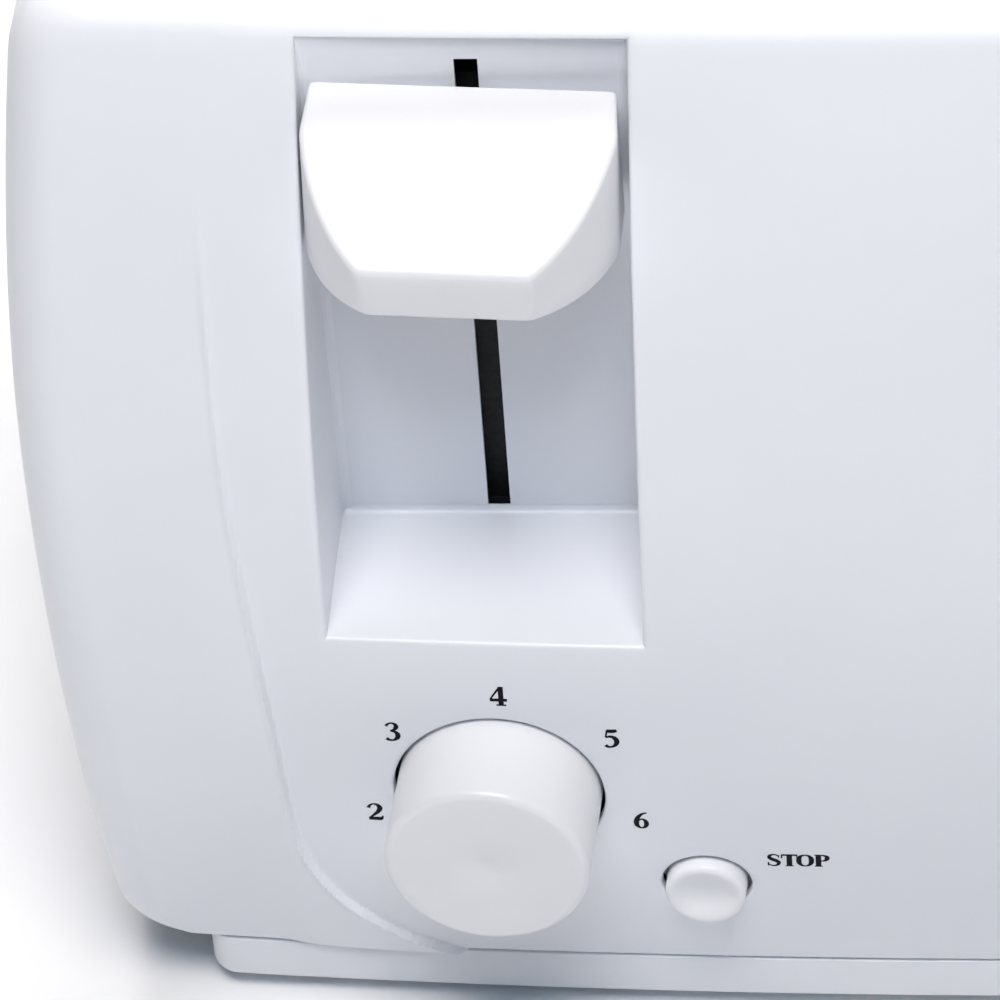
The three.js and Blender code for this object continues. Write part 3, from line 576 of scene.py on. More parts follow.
def front_cover():
    cover = FRONT
    edge_x, off = cover.edge_x, FRONT_WALL
    hole, button_cell = 20.0, 9.5
    button_x = COLUMN_X - BUTTON_OFFSET * math.cos(COLUMN_TURN)
    inner_edge, outer_edge = POCKET_MIDDLE - POCKET_HALF_WIDTH, POCKET_MIDDLE + POCKET_HALF_WIDTH

    # Columns of the right half, then mirrored.
    inboard = spread((0, button_x - button_cell, 1.6), (button_x - button_cell, inner_edge - MOUTH_R, 0.8))
    half = [("plain", v) for v in inboard]
    half += pocket_edge(inner_edge, 1)
    half += [
        ("back", v)
        for v in spread(
            (inner_edge + POCKET_FILLET, button_x + button_cell, 0.6),
            (button_x + button_cell, COLUMN_X - hole, 0.8),
            (COLUMN_X - hole, COLUMN_X - LEVER_SLOT_HALF_WIDTH, 0.9),
            (COLUMN_X - LEVER_SLOT_HALF_WIDTH, COLUMN_X + LEVER_SLOT_HALF_WIDTH, 1.1),
            (COLUMN_X + LEVER_SLOT_HALF_WIDTH, COLUMN_X + 5, 0.7),
            (COLUMN_X + 5, COLUMN_X + hole, 0.45),
            (COLUMN_X + hole, outer_edge - POCKET_FILLET, 0.45),
        )
    ]
    half += pocket_edge(outer_edge, -1)
    half += [("plain", v) for v in spread((outer_edge + MOUTH_R, 112, 0.4), (112, edge_x, 0.9))]

    def mirrored(line):
        if line[0] in PLAIN_KINDS:
            return (line[0], -line[1])
        return (line[0], -line[1], -line[2], line[3])

    columns = [mirrored(line) for line in half[:0:-1]] + half

    foot = [SHELL_BOTTOM_Z + FOOT_ROUND * (1 - math.sin(t)) for t in np.radians([90, 72, 54, 36, 18])]
    low = spread(
        (SHELL_BOTTOM_Z + FOOT_ROUND, KNOB_Z - BUTTON_DROP - button_cell, 0.45),
        (KNOB_Z - BUTTON_DROP - button_cell, KNOB_Z - hole, 0.5),
        (KNOB_Z - hole, KNOB_Z - BUTTON_DROP + button_cell, 0.7),
        (KNOB_Z - BUTTON_DROP + button_cell, KNOB_Z + hole, 1.0),
        (KNOB_Z + hole, POCKET_Z[0] - MOUTH_R, 1.4),
    )
    rows = [("plain", v) for v in foot + low]
    rows += pocket_edge(POCKET_Z[0], 1)
    back = spread(
        (POCKET_Z[0] + POCKET_FILLET, LEVER_SLOT_Z[0] + 0.01, 0.2),
        (LEVER_SLOT_Z[0] + 0.01, LEVER_SLOT_Z[1], 1.9),
        (LEVER_SLOT_Z[1], POCKET_Z[1] - POCKET_FILLET, 1.0),
    )
    rows += [("back", v) for v in back]
    rows += pocket_edge(POCKET_Z[1], -1)
    first = math.asin((POCKET_Z[1] + MOUTH_R - (TOP_Z - TOP_ROLL)) / TOP_ROLL)
    roll = np.linspace(first, math.pi / 2, 13)
    rows += [("plain", TOP_Z - TOP_ROLL + TOP_ROLL * math.sin(t)) for t in roll]

    row_edges = [(POCKET_Z[0], 1), (POCKET_Z[1], -1)]
    column_edges = [(-outer_edge, 1), (-inner_edge, -1), (inner_edge, 1), (outer_edge, -1)]

    def sheet(off):
        mouth_r = MOUTH_R if off == 0 else INNER_MOUTH_R

        def row_base(line):
            if line[0] in PLAIN_KINDS:
                if not off:
                    return line[1]
                return remap(line[1], off, row_edges, SHELL_BOTTOM_Z, (TOP_Z, TOP_Z - off))
            return line[1] - line[2] * off

        z0 = np.array([row_base(line) for line in rows])
        grid = []
        for line in columns:
            if line[0] in PLAIN_KINDS:
                x0 = remap(line[1], off, column_edges, -edge_x, (edge_x, edge_x)) if off else line[1]
            else:
                x0 = line[1] - line[2] * off
            full = np.maximum(0, POCKET_BACK_Y + off - cover.surface(np.full_like(z0, x0), z0, off))
            mouth = np.minimum(mouth_r, 0.4 * full)
            fillet = np.minimum(POCKET_FILLET, 0.4 * full)
            x = np.full_like(z0, x0)
            if line[0] not in PLAIN_KINDS:
                x = edge_shift(line, off, mouth, fillet) + 0 * z0
            z = np.array([
                v if row[0] in PLAIN_KINDS else edge_shift(row, off, m, f)
                for v, row, m, f in zip(z0, rows, mouth, fillet)
            ])  # fmt: skip
            across = edge_depth(line, full, mouth, fillet) + 0 * z0
            up = np.array([edge_depth(row, d, m, f) for row, d, m, f in zip(rows, full, mouth, fillet)])
            y = cover.surface(x, z, off) + np.minimum(across, up)
            grid.append(np.stack([cover.squeeze(x, z, off), y, z], -1))
        return cover.with_wings(grid, z0, off, 12)

    outer, inner = sheet(0), sheet(off)
    extra = (outer.shape[0] - len(columns)) // 2
    column_at = [line[1] if line[0] in PLAIN_KINDS else None for line in columns]
    column_at = [None] * extra + column_at + [None] * extra
    row_at = [line[1] if line[0] in PLAIN_KINDS else None for line in rows]

    holes, opened = [], []
    for side in SIDES:
        centre = side * COLUMN_X
        holes.append((side, 0.0, 0.0, KNOB_HOLE_R, centre, hole))
        holes.append((side, -side * BUTTON_OFFSET, -BUTTON_DROP, BUTTON_HOLE_R, side * button_x, button_cell))
        slot_i = sorted(nearest(column_at, centre + s * LEVER_SLOT_HALF_WIDTH) for s in SIDES)
        opened.append((*slot_i, nearest(row_at, LEVER_SLOT_Z[0]), nearest(row_at, LEVER_SLOT_Z[1])))
    for side, _, dz, _, x, reach in holes:
        i0, i1 = sorted(nearest(column_at, x + s * reach) for s in SIDES)
        opened.append((i0, i1, nearest(row_at, KNOB_Z + dz - reach), nearest(row_at, KNOB_Z + dz + reach)))

    skin = Skin()
    index = skin.grid(outer, inner, lambda i, j: any(a <= i < b and c <= j < d for a, b, c, d in opened))

    rim = 0.5
    for (side, dx, dz, radius, _, _), block in zip(holes, opened[len(SIDES) :]):
        loop, path = cell_loop(index, *block)
        turn = side * COLUMN_TURN
        spots = {0: np.array([outer[i, j] for i, j in path]), off: np.array([inner[i, j] for i, j in path])}
        centre = to_column([(dx, 0, dz)], side)[0]
        angle = np.arctan2(spots[0][:, 2] - centre[2], spots[0][:, 0] - centre[0])

        def circle(grow, depth, sheet_off, side=side, dx=dx, dz=dz, radius=radius, angle=angle, turn=turn):
            u = dx + (radius + grow) * np.cos(angle)
            z = KNOB_Z + dz + (radius + grow) * np.sin(angle)
            t = np.zeros_like(u)
            for _ in range(4):
                x = side * COLUMN_X + u * math.cos(turn) - t * math.sin(turn)
                y = cover.surface(x, z, sheet_off) + depth
                t = (y - FACE_Y - u * math.sin(turn)) / math.cos(turn)
            return np.stack([x, y, z], -1)

        rings = {0: [], off: []}
        for sheet_off, made in rings.items():
            target = circle(rim, 0, sheet_off)
            for share in (0.3, 0.6, 0.85):
                mixed = spots[sheet_off] * (1 - share) + target * share
                mixed[:, 1] = cover.surface(mixed[:, 0], mixed[:, 2], sheet_off)
                made.append(mixed)
            for t in np.radians([0, 22.5, 45, 67.5, 90]):
                depth = rim * (1 - math.cos(t)) if sheet_off == 0 else 0
                made.append(circle(rim * (1 - math.sin(t)), depth, sheet_off))
        skin.rings(loop, rings[0], rings[off])

    seam_and_top(skin, index, outer, inner, cover.seam)
    return skin.close()


def seam_and_top(skin, index, outer, inner, seam):
    """Closes the flat top, and rounds the edge that meets the next cover."""
    skin.faces.append(tuple(index[:, -1]))
    loop = list(index[-1]) + list(index[0, ::-1])
    starts = np.concatenate([outer[-1], outer[0, ::-1]])
    insides = np.concatenate([inner[-1], inner[0, ::-1]])
    over = np.clip((starts[:, 2] - (TOP_Z - TOP_ROLL)) / TOP_ROLL, 0, 1)
    under = np.clip((SHELL_BOTTOM_Z + BOTTOM_ROLL - starts[:, 2]) / BOTTOM_ROLL, 0, 1)
    normal_z = over - under
    normal_x = np.sign(starts[:, 0]) * np.sqrt(1 - normal_z**2)
    outer_rings, inner_rings = [], []
    for t in np.radians([30, 60, 90]):
        drop = SEAM_ROUND * (1 - math.cos(t))
        y = seam - SEAM_ROUND + SEAM_ROUND * math.sin(t)
        ring = starts.copy()
        ring[:, 0] -= normal_x * drop
        ring[:, 2] -= normal_z * drop
        ring[:, 1] = y
        inside = insides.copy()
        inside[:, 1] = y
        outer_rings.append(ring)
        inner_rings.append(inside)
    skin.rings(loop, outer_rings, inner_rings, closed=False)


front_vertices, front_faces = front_cover()
mesh_object(
    "front_cover_shell", front_vertices, front_faces, SHELL, "housing", ["front_cover"]
)


def rear_cover():
    """The rear cover in axes turned half round, so that its face looks towards -Y too."""
    cover = Cover(-REAR_Y, -REAR_SEAM_Y, 0.0, rear_inset, -MID_Y)
    edge_x, off = cover.edge_x, WALL
    bush_x, bush_z, bush_r = -BUSHING[0], BUSHING[1], BUSHING[2] + GAP
    vent_reach, bush_reach = 5.0, 11.0
    lows = [x - vent_reach for x in VENT_XS]
    highs = [x + vent_reach for x in VENT_XS]
    marks = sorted({-edge_x, *lows, *highs, bush_x - bush_reach, bush_x + bush_reach, edge_x})
    columns = spread(*[(a, b, 1.5) for a, b in zip(marks, marks[1:])])
    low_roll = [SHELL_BOTTOM_Z + BOTTOM_ROLL * (1 - math.cos(t)) for t in np.radians(np.linspace(0, 90, 9))]
    vent_cell = (VENT_Z[0] - 4, VENT_Z[1] + 4)
    middle = spread(
        (low_roll[-1], bush_z - bush_reach, 1.0),
        (bush_z - bush_reach, bush_z + bush_reach, 1.5),
        (bush_z + bush_reach, vent_cell[0], 3.0),
        (*vent_cell, 1.4),
        (vent_cell[1], TOP_Z - TOP_ROLL, 2.0),
    )
    high_roll = [TOP_Z - TOP_ROLL + TOP_ROLL * math.sin(t) for t in np.radians(np.linspace(0, 90, 13))]
    rows = np.array(low_roll + middle[1:-1] + high_roll)

    def sheet(wall):
        z = np.interp(rows, [SHELL_BOTTOM_Z, TOP_Z], [SHELL_BOTTOM_Z, TOP_Z - wall])
        grid = []
        for x in columns:
            across = np.full_like(z, x)
            grid.append(np.stack([cover.squeeze(across, z, wall), cover.surface(across, z, wall), z], -1))
        return cover.with_wings(grid, z, wall, 8)

    outer, inner = sheet(0), sheet(off)
    extra = (outer.shape[0] - len(columns)) // 2
    column_at = [None] * extra + columns + [None] * extra
    blocks = [(a, b, vent_cell[0], vent_cell[1]) for a, b in zip(lows, highs)]
    blocks.append((bush_x - bush_reach, bush_x + bush_reach, bush_z - bush_reach, bush_z + bush_reach))
    blocks = [
        (*(nearest(column_at, v) for v in cell[:2]), *(nearest(list(rows), v) for v in cell[2:]))
        for cell in blocks
    ]
    skin = Skin()
    index = skin.grid(outer, inner, lambda i, j: any(a <= i < b and c <= j < d for a, b, c, d in blocks))
    rim = 0.6
    for block, x in zip(blocks, [*VENT_XS, None]):
        loop, path = cell_loop(index, *block)
        spots = {0: np.array([outer[i, j] for i, j in path]), off: np.array([inner[i, j] for i, j in path])}

        def outline(spot, grow, x=x):
            if x is None:
                angle = np.arctan2(spot[:, 2] - bush_z, spot[:, 0] - bush_x)
                return bush_x + (bush_r + grow) * np.cos(angle), bush_z + (bush_r + grow) * np.sin(angle)
            mid = (VENT_Z[0] + VENT_Z[1]) / 2
            half = (VENT_Z[1] - VENT_Z[0]) / 2 - VENT_HALF_WIDTH
            core = np.clip(spot[:, 2] - mid, -half, half)
            angle = np.arctan2(spot[:, 2] - mid - core, spot[:, 0] - x)
            reach = VENT_HALF_WIDTH + grow
            return x + reach * np.cos(angle), mid + core + reach * np.sin(angle)

        rings = {0: [], off: []}
        for wall, made in rings.items():
            goal_x, goal_z = outline(spots[0], rim)
            for share in (0.4, 0.8):
                mixed = spots[wall] * (1 - share)
                mixed[:, 0] += share * goal_x
                mixed[:, 2] += share * goal_z
                mixed[:, 1] = cover.surface(mixed[:, 0], mixed[:, 2], wall)
                made.append(mixed)
            for t in np.radians([0, 30, 60, 90]):
                gx, gz = outline(spots[0], rim * (1 - math.sin(t)))
                depth = rim * (1 - math.cos(t)) if wall == 0 else 0
                made.append(np.stack([gx, cover.surface(gx, gz, wall) + depth, gz], -1))
        skin.rings(loop, rings[0], rings[off])
    seam_and_top(skin, index, outer, inner, cover.seam)
    vertices, faces = skin.close()
    return vertices * (-1, -1, 1), faces


rear_vertices, rear_faces = rear_cover()
mesh_object("rear_cover_shell", rear_vertices, rear_faces, SHELL, "housing", ["rear_cover"])


def slot_outline(spots, centre, grow):
    """Points round a bread slot grown by some margin, one for each vertex round its cell."""
    half = np.array([SLOT_HALF_WIDTH, (SLOT_Y[1] - SLOT_Y[0]) / 2])
    middle = np.array([centre, (SLOT_Y[0] + SLOT_Y[1]) / 2])
    relative = spots[:, :2] - middle
    reach = np.abs(relative).max(0)
    scaled = relative / reach * half
    core = half - SLOT_CORNER_R
    anchor = np.clip(scaled, -core, core)
    out = scaled - anchor
    length = np.linalg.norm(out, axis=1, keepdims=True)
    return middle + anchor + out / np.maximum(length, 1e-9) * (SLOT_CORNER_R + grow)


def centre_shell():
    """Sides and top as one sheet: columns run round the section, rows run from front to rear."""
    margin = 3.2
    cell_y = (SLOT_Y[0] - margin, SLOT_Y[1] + margin)
    foot = np.radians(np.linspace(90, 0, 9))[:-1]
    roll = np.radians(np.linspace(0, 90, 13))[1:]
    section = []
    for t in foot:
        z = SHELL_BOTTOM_Z + BOTTOM_ROLL * (1 - math.sin(t))
        section.append((-(HALF_WIDTH - side_inset(z)), z, -math.cos(t), -math.sin(t)))
    for z in spread((SHELL_BOTTOM_Z + BOTTOM_ROLL, TOP_Z - TOP_ROLL, 6)):
        section.append((-(HALF_WIDTH - side_inset(z)), z, -1.0, 0.0))
    for t in roll:
        z = TOP_Z - TOP_ROLL + TOP_ROLL * math.sin(t)
        section.append((-(HALF_WIDTH - side_inset(z)), z, -math.cos(t), math.sin(t)))
    reach = SLOT_HALF_WIDTH + margin
    corner = SLOT_CORNER_R * reach / SLOT_HALF_WIDTH
    marks = [section[-1][0]]
    for centre in SLOT_CENTRES:
        marks += [centre - reach, centre - reach + corner, centre + reach - corner, centre + reach]
    marks.append(-section[-1][0])
    top = spread(*[(a, b, 0.9 if b - a < corner + 0.1 else 3.0) for a, b in zip(marks, marks[1:])])[1:-1]
    flat = [(x, TOP_Z, 0.0, 1.0) for x in top]
    section = section + flat + [(-x, z, -nx, nz) for x, z, nx, nz in reversed(section)]
    section = np.array(section)

    start, end = FRONT_SEAM_Y + GAP, REAR_SEAM_Y - GAP
    round_angles = np.radians([90, 60, 30])
    corner_y = SLOT_CORNER_R * (cell_y[1] - cell_y[0]) / (SLOT_Y[1] - SLOT_Y[0])
    inner_rows = spread(
        (start + SEAM_ROUND, cell_y[0], 3.0),
        (cell_y[0], cell_y[0] + corner_y, 0.9),
        (cell_y[0] + corner_y, cell_y[1] - corner_y, 6.0),
        (cell_y[1] - corner_y, cell_y[1], 0.9),
        (cell_y[1], end - SEAM_ROUND, 3.0),
    )
    rounds = [(SEAM_ROUND * math.sin(t), SEAM_ROUND * (1 - math.cos(t))) for t in round_angles]
    rows = [(start + SEAM_ROUND - out, drop) for out, drop in rounds]
    rows += [(y, 0.0) for y in inner_rows]
    rows += [(end - SEAM_ROUND + out, drop) for out, drop in reversed(rounds)]
    rows = np.array(rows)

    x, z, nx, nz = (section[:, k][:, None] for k in range(4))
    y, drop = rows[:, 0][None, :], rows[:, 1][None, :]
    outer = np.stack([x - nx * drop, y + 0 * x, z - nz * drop], -1)
    inner = np.stack([x - nx * WALL + 0 * y, y + 0 * x, z - nz * WALL + 0 * y], -1)

    columns_x = [v if n > 0.999 else None for v, n in zip(section[:, 0], section[:, 3])]
    row_y = list(rows[:, 0])
    blocks = []
    for centre in SLOT_CENTRES:
        i0, i1 = nearest(columns_x, centre - reach), nearest(columns_x, centre + reach)
        blocks.append((i0, i1, nearest(row_y, cell_y[0]), nearest(row_y, cell_y[1])))
    skin = Skin()
    index = skin.grid(outer, inner, lambda i, j: any(a <= i < b and c <= j < d for a, b, c, d in blocks))
    lip = 1.5
    for centre, block in zip(SLOT_CENTRES, blocks):
        loop, path = cell_loop(index, *block)
        spots = np.array([outer[i, j] for i, j in path])
        outer_rings, inner_rings = [], []
        for share in (0.5, 1.0):
            ring = spots[:, :2] * (1 - share) + slot_outline(spots, centre, lip) * share
            outer_rings.append(np.column_stack([ring, np.full(len(ring), TOP_Z)]))
        for t in np.radians([18, 36, 54, 72, 90]):
            ring = slot_outline(spots, centre, lip * (1 - math.sin(t)))
            z_at = TOP_Z - lip * (1 - math.cos(t))
            outer_rings.append(np.column_stack([ring, np.full(len(ring), z_at)]))
        ring = slot_outline(spots, centre, 0)
        outer_rings.append(np.column_stack([ring, np.full(len(ring), SLOT_LIP_Z)]))
        skirt = slot_outline(spots, centre, WALL)
        depths = np.linspace(TOP_Z - WALL, SLOT_LIP_Z, len(outer_rings))
        for z_at in depths:
            inner_rings.append(np.column_stack([skirt, np.full(len(loop), z_at)]))
        skin.rings(loop, outer_rings, inner_rings)
    return skin.close()


centre_vertices, centre_faces = centre_shell()
mesh_object(
    "centre_shell_body", centre_vertices, centre_faces, SHELL, "housing", ["centre_shell"]
)

# ---- base ----------------------------------------------------------------------------------


def plan_loop(half_width, front, rear, corner):
    """A closed outline, anticlockwise from above, with a bowed front."""
    reach = half_width - corner
    tilt = math.atan(BOW * reach)
    edge_x = reach + corner * math.sin(tilt)
    corner_y = front + BOW * edge_x**2 / 2 + corner * math.cos(tilt)
    points = [(x, front + BOW * x**2 / 2) for x in np.linspace(-edge_x, edge_x, 90)]
    points += arc((reach, corner_y), corner, -90 + math.degrees(tilt), 0, 14)[1:]
    points += arc((reach, rear - corner), corner, 0, 90, 14)
    points += arc((-reach, rear - corner), corner, 90, 180, 14)
    points += arc((-reach, corner_y), corner, 180, 270 - math.degrees(tilt), 14)[:-1]
    return np.array(points)


def loft(loops):
    """Vertices and faces through closed loops of equal length, capped at both ends."""
    count = len(loops[0])
    vertices = np.concatenate(loops)
    faces = []
    for k in range(len(loops) - 1):
        for n in range(count):
            a, b = k * count + n, k * count + (n + 1) % count
            faces.append((a, b, b + count, a + count))
    faces.append(tuple(range(count))[::-1])
    faces.append(tuple(range((len(loops) - 1) * count, len(loops) * count)))
    return vertices, faces


def cut(target, cutter):
    """Takes cutter's solid out of target, and removes the cutter."""
    modifier = target.modifiers.new("cut", "BOOLEAN")
    modifier.object = cutter
    modifier.operation = "DIFFERENCE"
    modifier.solver = "EXACT"
    bpy.context.view_layer.update()
    done = bpy.data.meshes.new_from_object(target.evaluated_get(bpy.context.evaluated_depsgraph_get()))
    target.modifiers.clear()
    target.data = done
    bpy.data.objects.remove(cutter)


def cutter_of(vertices, faces):
    """A bare object to cut with, from millimetre vertices."""
    mesh = bpy.data.meshes.new("cutter")
    mesh.from_pydata((np.asarray(vertices, float) * MM).tolist(), [], [list(f) for f in faces])
    made = bpy.data.objects.new("cutter", mesh)
    bpy.context.scene.collection.objects.link(made)
    return made


def block(x, y, z):
    """A box from its ranges along each axis."""
    loops = [np.array([(x[0], y[0], h), (x[1], y[0], h), (x[1], y[1], h), (x[0], y[1], h)]) for h in z]
    return loft(loops)


PLINTH_ROUND, PLINTH_LIP = 1.2, 0.2


def plinth():
    def level(inset, z):
        front, rear = BASE_FRONT_Y + inset, BASE_REAR_Y - inset
        points = plan_loop(BASE_HALF_WIDTH - inset, front, rear, BASE_CORNER_R - inset)
        return np.column_stack([points, np.full(len(points), z)])

    top = SHELL_BOTTOM_Z - GAP
    loops = []
    for t in np.radians([0, 18, 36, 54, 72, 90]):
        loops.append(level(PLINTH_ROUND * (1 - math.sin(t)), BASE_Z + PLINTH_ROUND * (1 - math.cos(t))))
    for t in np.radians([0, 30, 60, 90]):
        loops.append(level(PLINTH_LIP * (1 - math.cos(t)), top - PLINTH_LIP * (1 - math.sin(t))))
    loops += [level(WALL, top), level(WALL, BASE_FLOOR_Z)]
    return loft(loops)


plinth_vertices, plinth_faces = plinth()
plinth_piece = mesh_object(
    "base_plinth_tray", plinth_vertices, plinth_faces, BASE, "housing", ["base_plinth"]
)
for side in SIDES:  # the mouths that the crumb trays slide through
    mouth_x = sorted((side * (TRAY_X[0] - GAP), side * (TRAY_X[1] + GAP)))
    mouth_y, mouth_z = (BASE_REAR_Y - 6, BASE_REAR_Y + 9), (BASE_FLOOR_Z, TRAY_TOP_Z + GAP)
    cut(plinth_piece, cutter_of(*block(mouth_x, mouth_y, mouth_z)))

# ---- controls ------------------------------------------------------------------------------

KNOB_ROUND = 1.3


def knob_profile():
    """Half section of the knob, from the axis behind it to the axis at its face."""
    face = -KNOB_LENGTH
    rim = arc((KNOB_R - KNOB_ROUND, face + KNOB_ROUND), KNOB_ROUND, 0, -90, 10)
    stem = [(0, -9.6), (3.3, -9.6), (3.3, 1), (5.2, 1), (5.2, face + 2.4)]
    skirt = [(KNOB_R - 2.2, face + 2.4), (KNOB_R - 2.2, 3.6), (KNOB_R - 1.9, 4)]
    flank = [(KNOB_R - 0.3, 4), (KNOB_R, 3.7)]
    dish = [(KNOB_R - 3.2, face + 0.03), (KNOB_R - 8, face + 0.12)]
    gate = [(1.9, face + 0.13), (1.7, face + 0.2), (0, face + 0.2)]
    return [*stem, *skirt, *flank, *rim, *dish, *gate]


BUTTON_ROUND, BUTTON_DISH, BUTTON_DISH_R, BUTTON_FLANGE = 1.0, 1.7, 4.9, 1.4


def button_profile():
    """Half section of the button, from its dished face back to its stem."""
    face, flange_r = -BUTTON_PROUD, BUTTON_R + BUTTON_FLANGE
    dish = [(r, face + BUTTON_DISH * (1 - (r / BUTTON_DISH_R) ** 2)) for r in (0, 1, 2, 3, 3.8, 4.4)]
    lip = arc((BUTTON_R - BUTTON_ROUND, face + BUTTON_ROUND), BUTTON_ROUND, -115, 0, 10)
    return [*dish, *lip, (BUTTON_R, 4.4), (flange_r, 4.4), (flange_r, 5.6), (2.4, 5.6), (2.4, 7.6), (0, 7.6)]


for side in SIDES:
    side_name = SIDE_NAMES[side]
    points, faces = lathe(knob_profile(), 128)
    mesh_object(
        f"browning_cap_{side_name}", to_column(points, side), faces, CONTROL,
        f"{side_name}_browning_knob", [f"browning_knob_{side_name}"], sharp=40,
    )  # fmt: skip
    points, faces = lathe(button_profile(), 96)
    seat = to_column(points, side, -side * BUTTON_OFFSET, BUTTON_SEAT, -BUTTON_DROP)
    mesh_object(
        f"stop_cap_{side_name}", seat, faces, CONTROL,
        f"{side_name}_stop_button", [f"stop_button_{side_name}"], sharp=40,
    )  # fmt: skip

# ---- lever paddles -------------------------------------------------------------------------

LEVER_BACK = 1.5
LEVER_TOP = (172.6, 159.8)  # height of the top at its back and at its nose
LEVER_LOW_Z = 150.4
LEVER_FRONT = 29.8
LEVER_SHIFT = 0.4
TOP_OUTLINE = ((12.7, LEVER_FRONT), (20.8, 22.5), (23.4, 9.0), (22.7, LEVER_BACK))
LOW_OUTLINE = ((12.1, 28.5), (20.5, 24.0), (23.4, 12.6), (23.0, LEVER_BACK))


def bezier(a, b, c, steps):
    t = np.linspace(0, 1, steps + 1)[:, None]
    return (1 - t) ** 2 * np.array(a) + 2 * t * (1 - t) * np.array(b) + t**2 * np.array(c)


def segment(a, b, steps):
    """Points after a, up to and including b."""
    t = np.linspace(0, 1, steps + 1)[1:, None]
    return (1 - t) * np.array(a) + t * np.array(b)


def paddle_outline(nose, control, shoulder, heel):
    """Outline from above, x across and then the distance out of the pocket."""
    right = np.concatenate([bezier(nose, control, shoulder, 44), segment(shoulder, heel, 20)])
    back = segment(heel, (-heel[0], heel[1]), 60)[:-1]
    left = right[::-1] * (-1, 1)
    across = segment((-nose[0], nose[1]), nose, 50)[:-1]
    points = np.concatenate([right, back, left, across])
    for _ in range(3):  # soften the corners
        points = (np.roll(points, 1, 0) + 2 * points + np.roll(points, -1, 0)) / 4
    return points


def outward(points):
    """Unit normals of a closed outline, pointing out of it."""
    along = np.roll(points, -1, 0) - np.roll(points, 1, 0)
    out = np.column_stack([-along[:, 1], along[:, 0]])
    out /= np.linalg.norm(out, axis=1, keepdims=True)
    return out * np.sign(np.sum(out * (points - points.mean(0))))


def paddle(side):
    top, low = paddle_outline(*TOP_OUTLINE), paddle_outline(*LOW_OUTLINE)
    fall = (LEVER_TOP[0] - LEVER_TOP[1]) / (LEVER_FRONT - LEVER_BACK)
    soft, hem, wall = 0.9, 0.6, 2.2
    normal_top, normal_low = outward(top), outward(low)
    turn = side * COLUMN_TURN

    def crown(points):
        return LEVER_TOP[0] - fall * (points[:, 1] - LEVER_BACK)

    def ring(points, z):
        across, out = points[:, 0], points[:, 1]
        x = across * math.cos(turn) + out * math.sin(turn) + side * (COLUMN_X + LEVER_SHIFT)
        return np.column_stack([x, across * math.sin(turn) - out * math.cos(turn) + POCKET_BACK_Y, z + 0 * x])

    hollow = low - normal_low * wall
    loops = [ring(hollow, LEVER_LOW_Z + 5.0), ring(hollow, LEVER_LOW_Z)]
    for t in np.radians([0, 22.5, 45, 67.5, 90]):
        loops.append(ring(low - normal_low * hem * (1 - math.sin(t)), LEVER_LOW_Z + hem * (1 - math.cos(t))))
    start, end = LEVER_LOW_Z + hem, crown(top) - soft
    for share in (0.25, 0.5, 0.75):
        loops.append(ring(low * (1 - share) + top * share, start + (end - start) * share))
    for t in np.radians([0, 15, 30, 45, 60, 75, 90]):
        inset = top - normal_top * soft * (1 - math.cos(t))
        loops.append(ring(inset, crown(inset) - soft * (1 - math.sin(t))))
    middle = np.array([0, 15.0])
    for scale in (0.92, 0.7, 0.4, 0.15):
        inset = middle + (top - normal_top * soft - middle) * scale
        loops.append(ring(inset, crown(inset) + 0.3 * (1 - scale**2)))
    return loft(loops)


for side in SIDES:
    side_name = SIDE_NAMES[side]
    points, faces = paddle(side)
    mesh_object(
        f"lever_grip_{side_name}", points, faces, CONTROL, f"{side_name}_carriage",
        [f"lever_paddle_{side_name}"], sharp=50,
    )  # fmt: skip

# ---- printed marks -------------------------------------------------------------------------

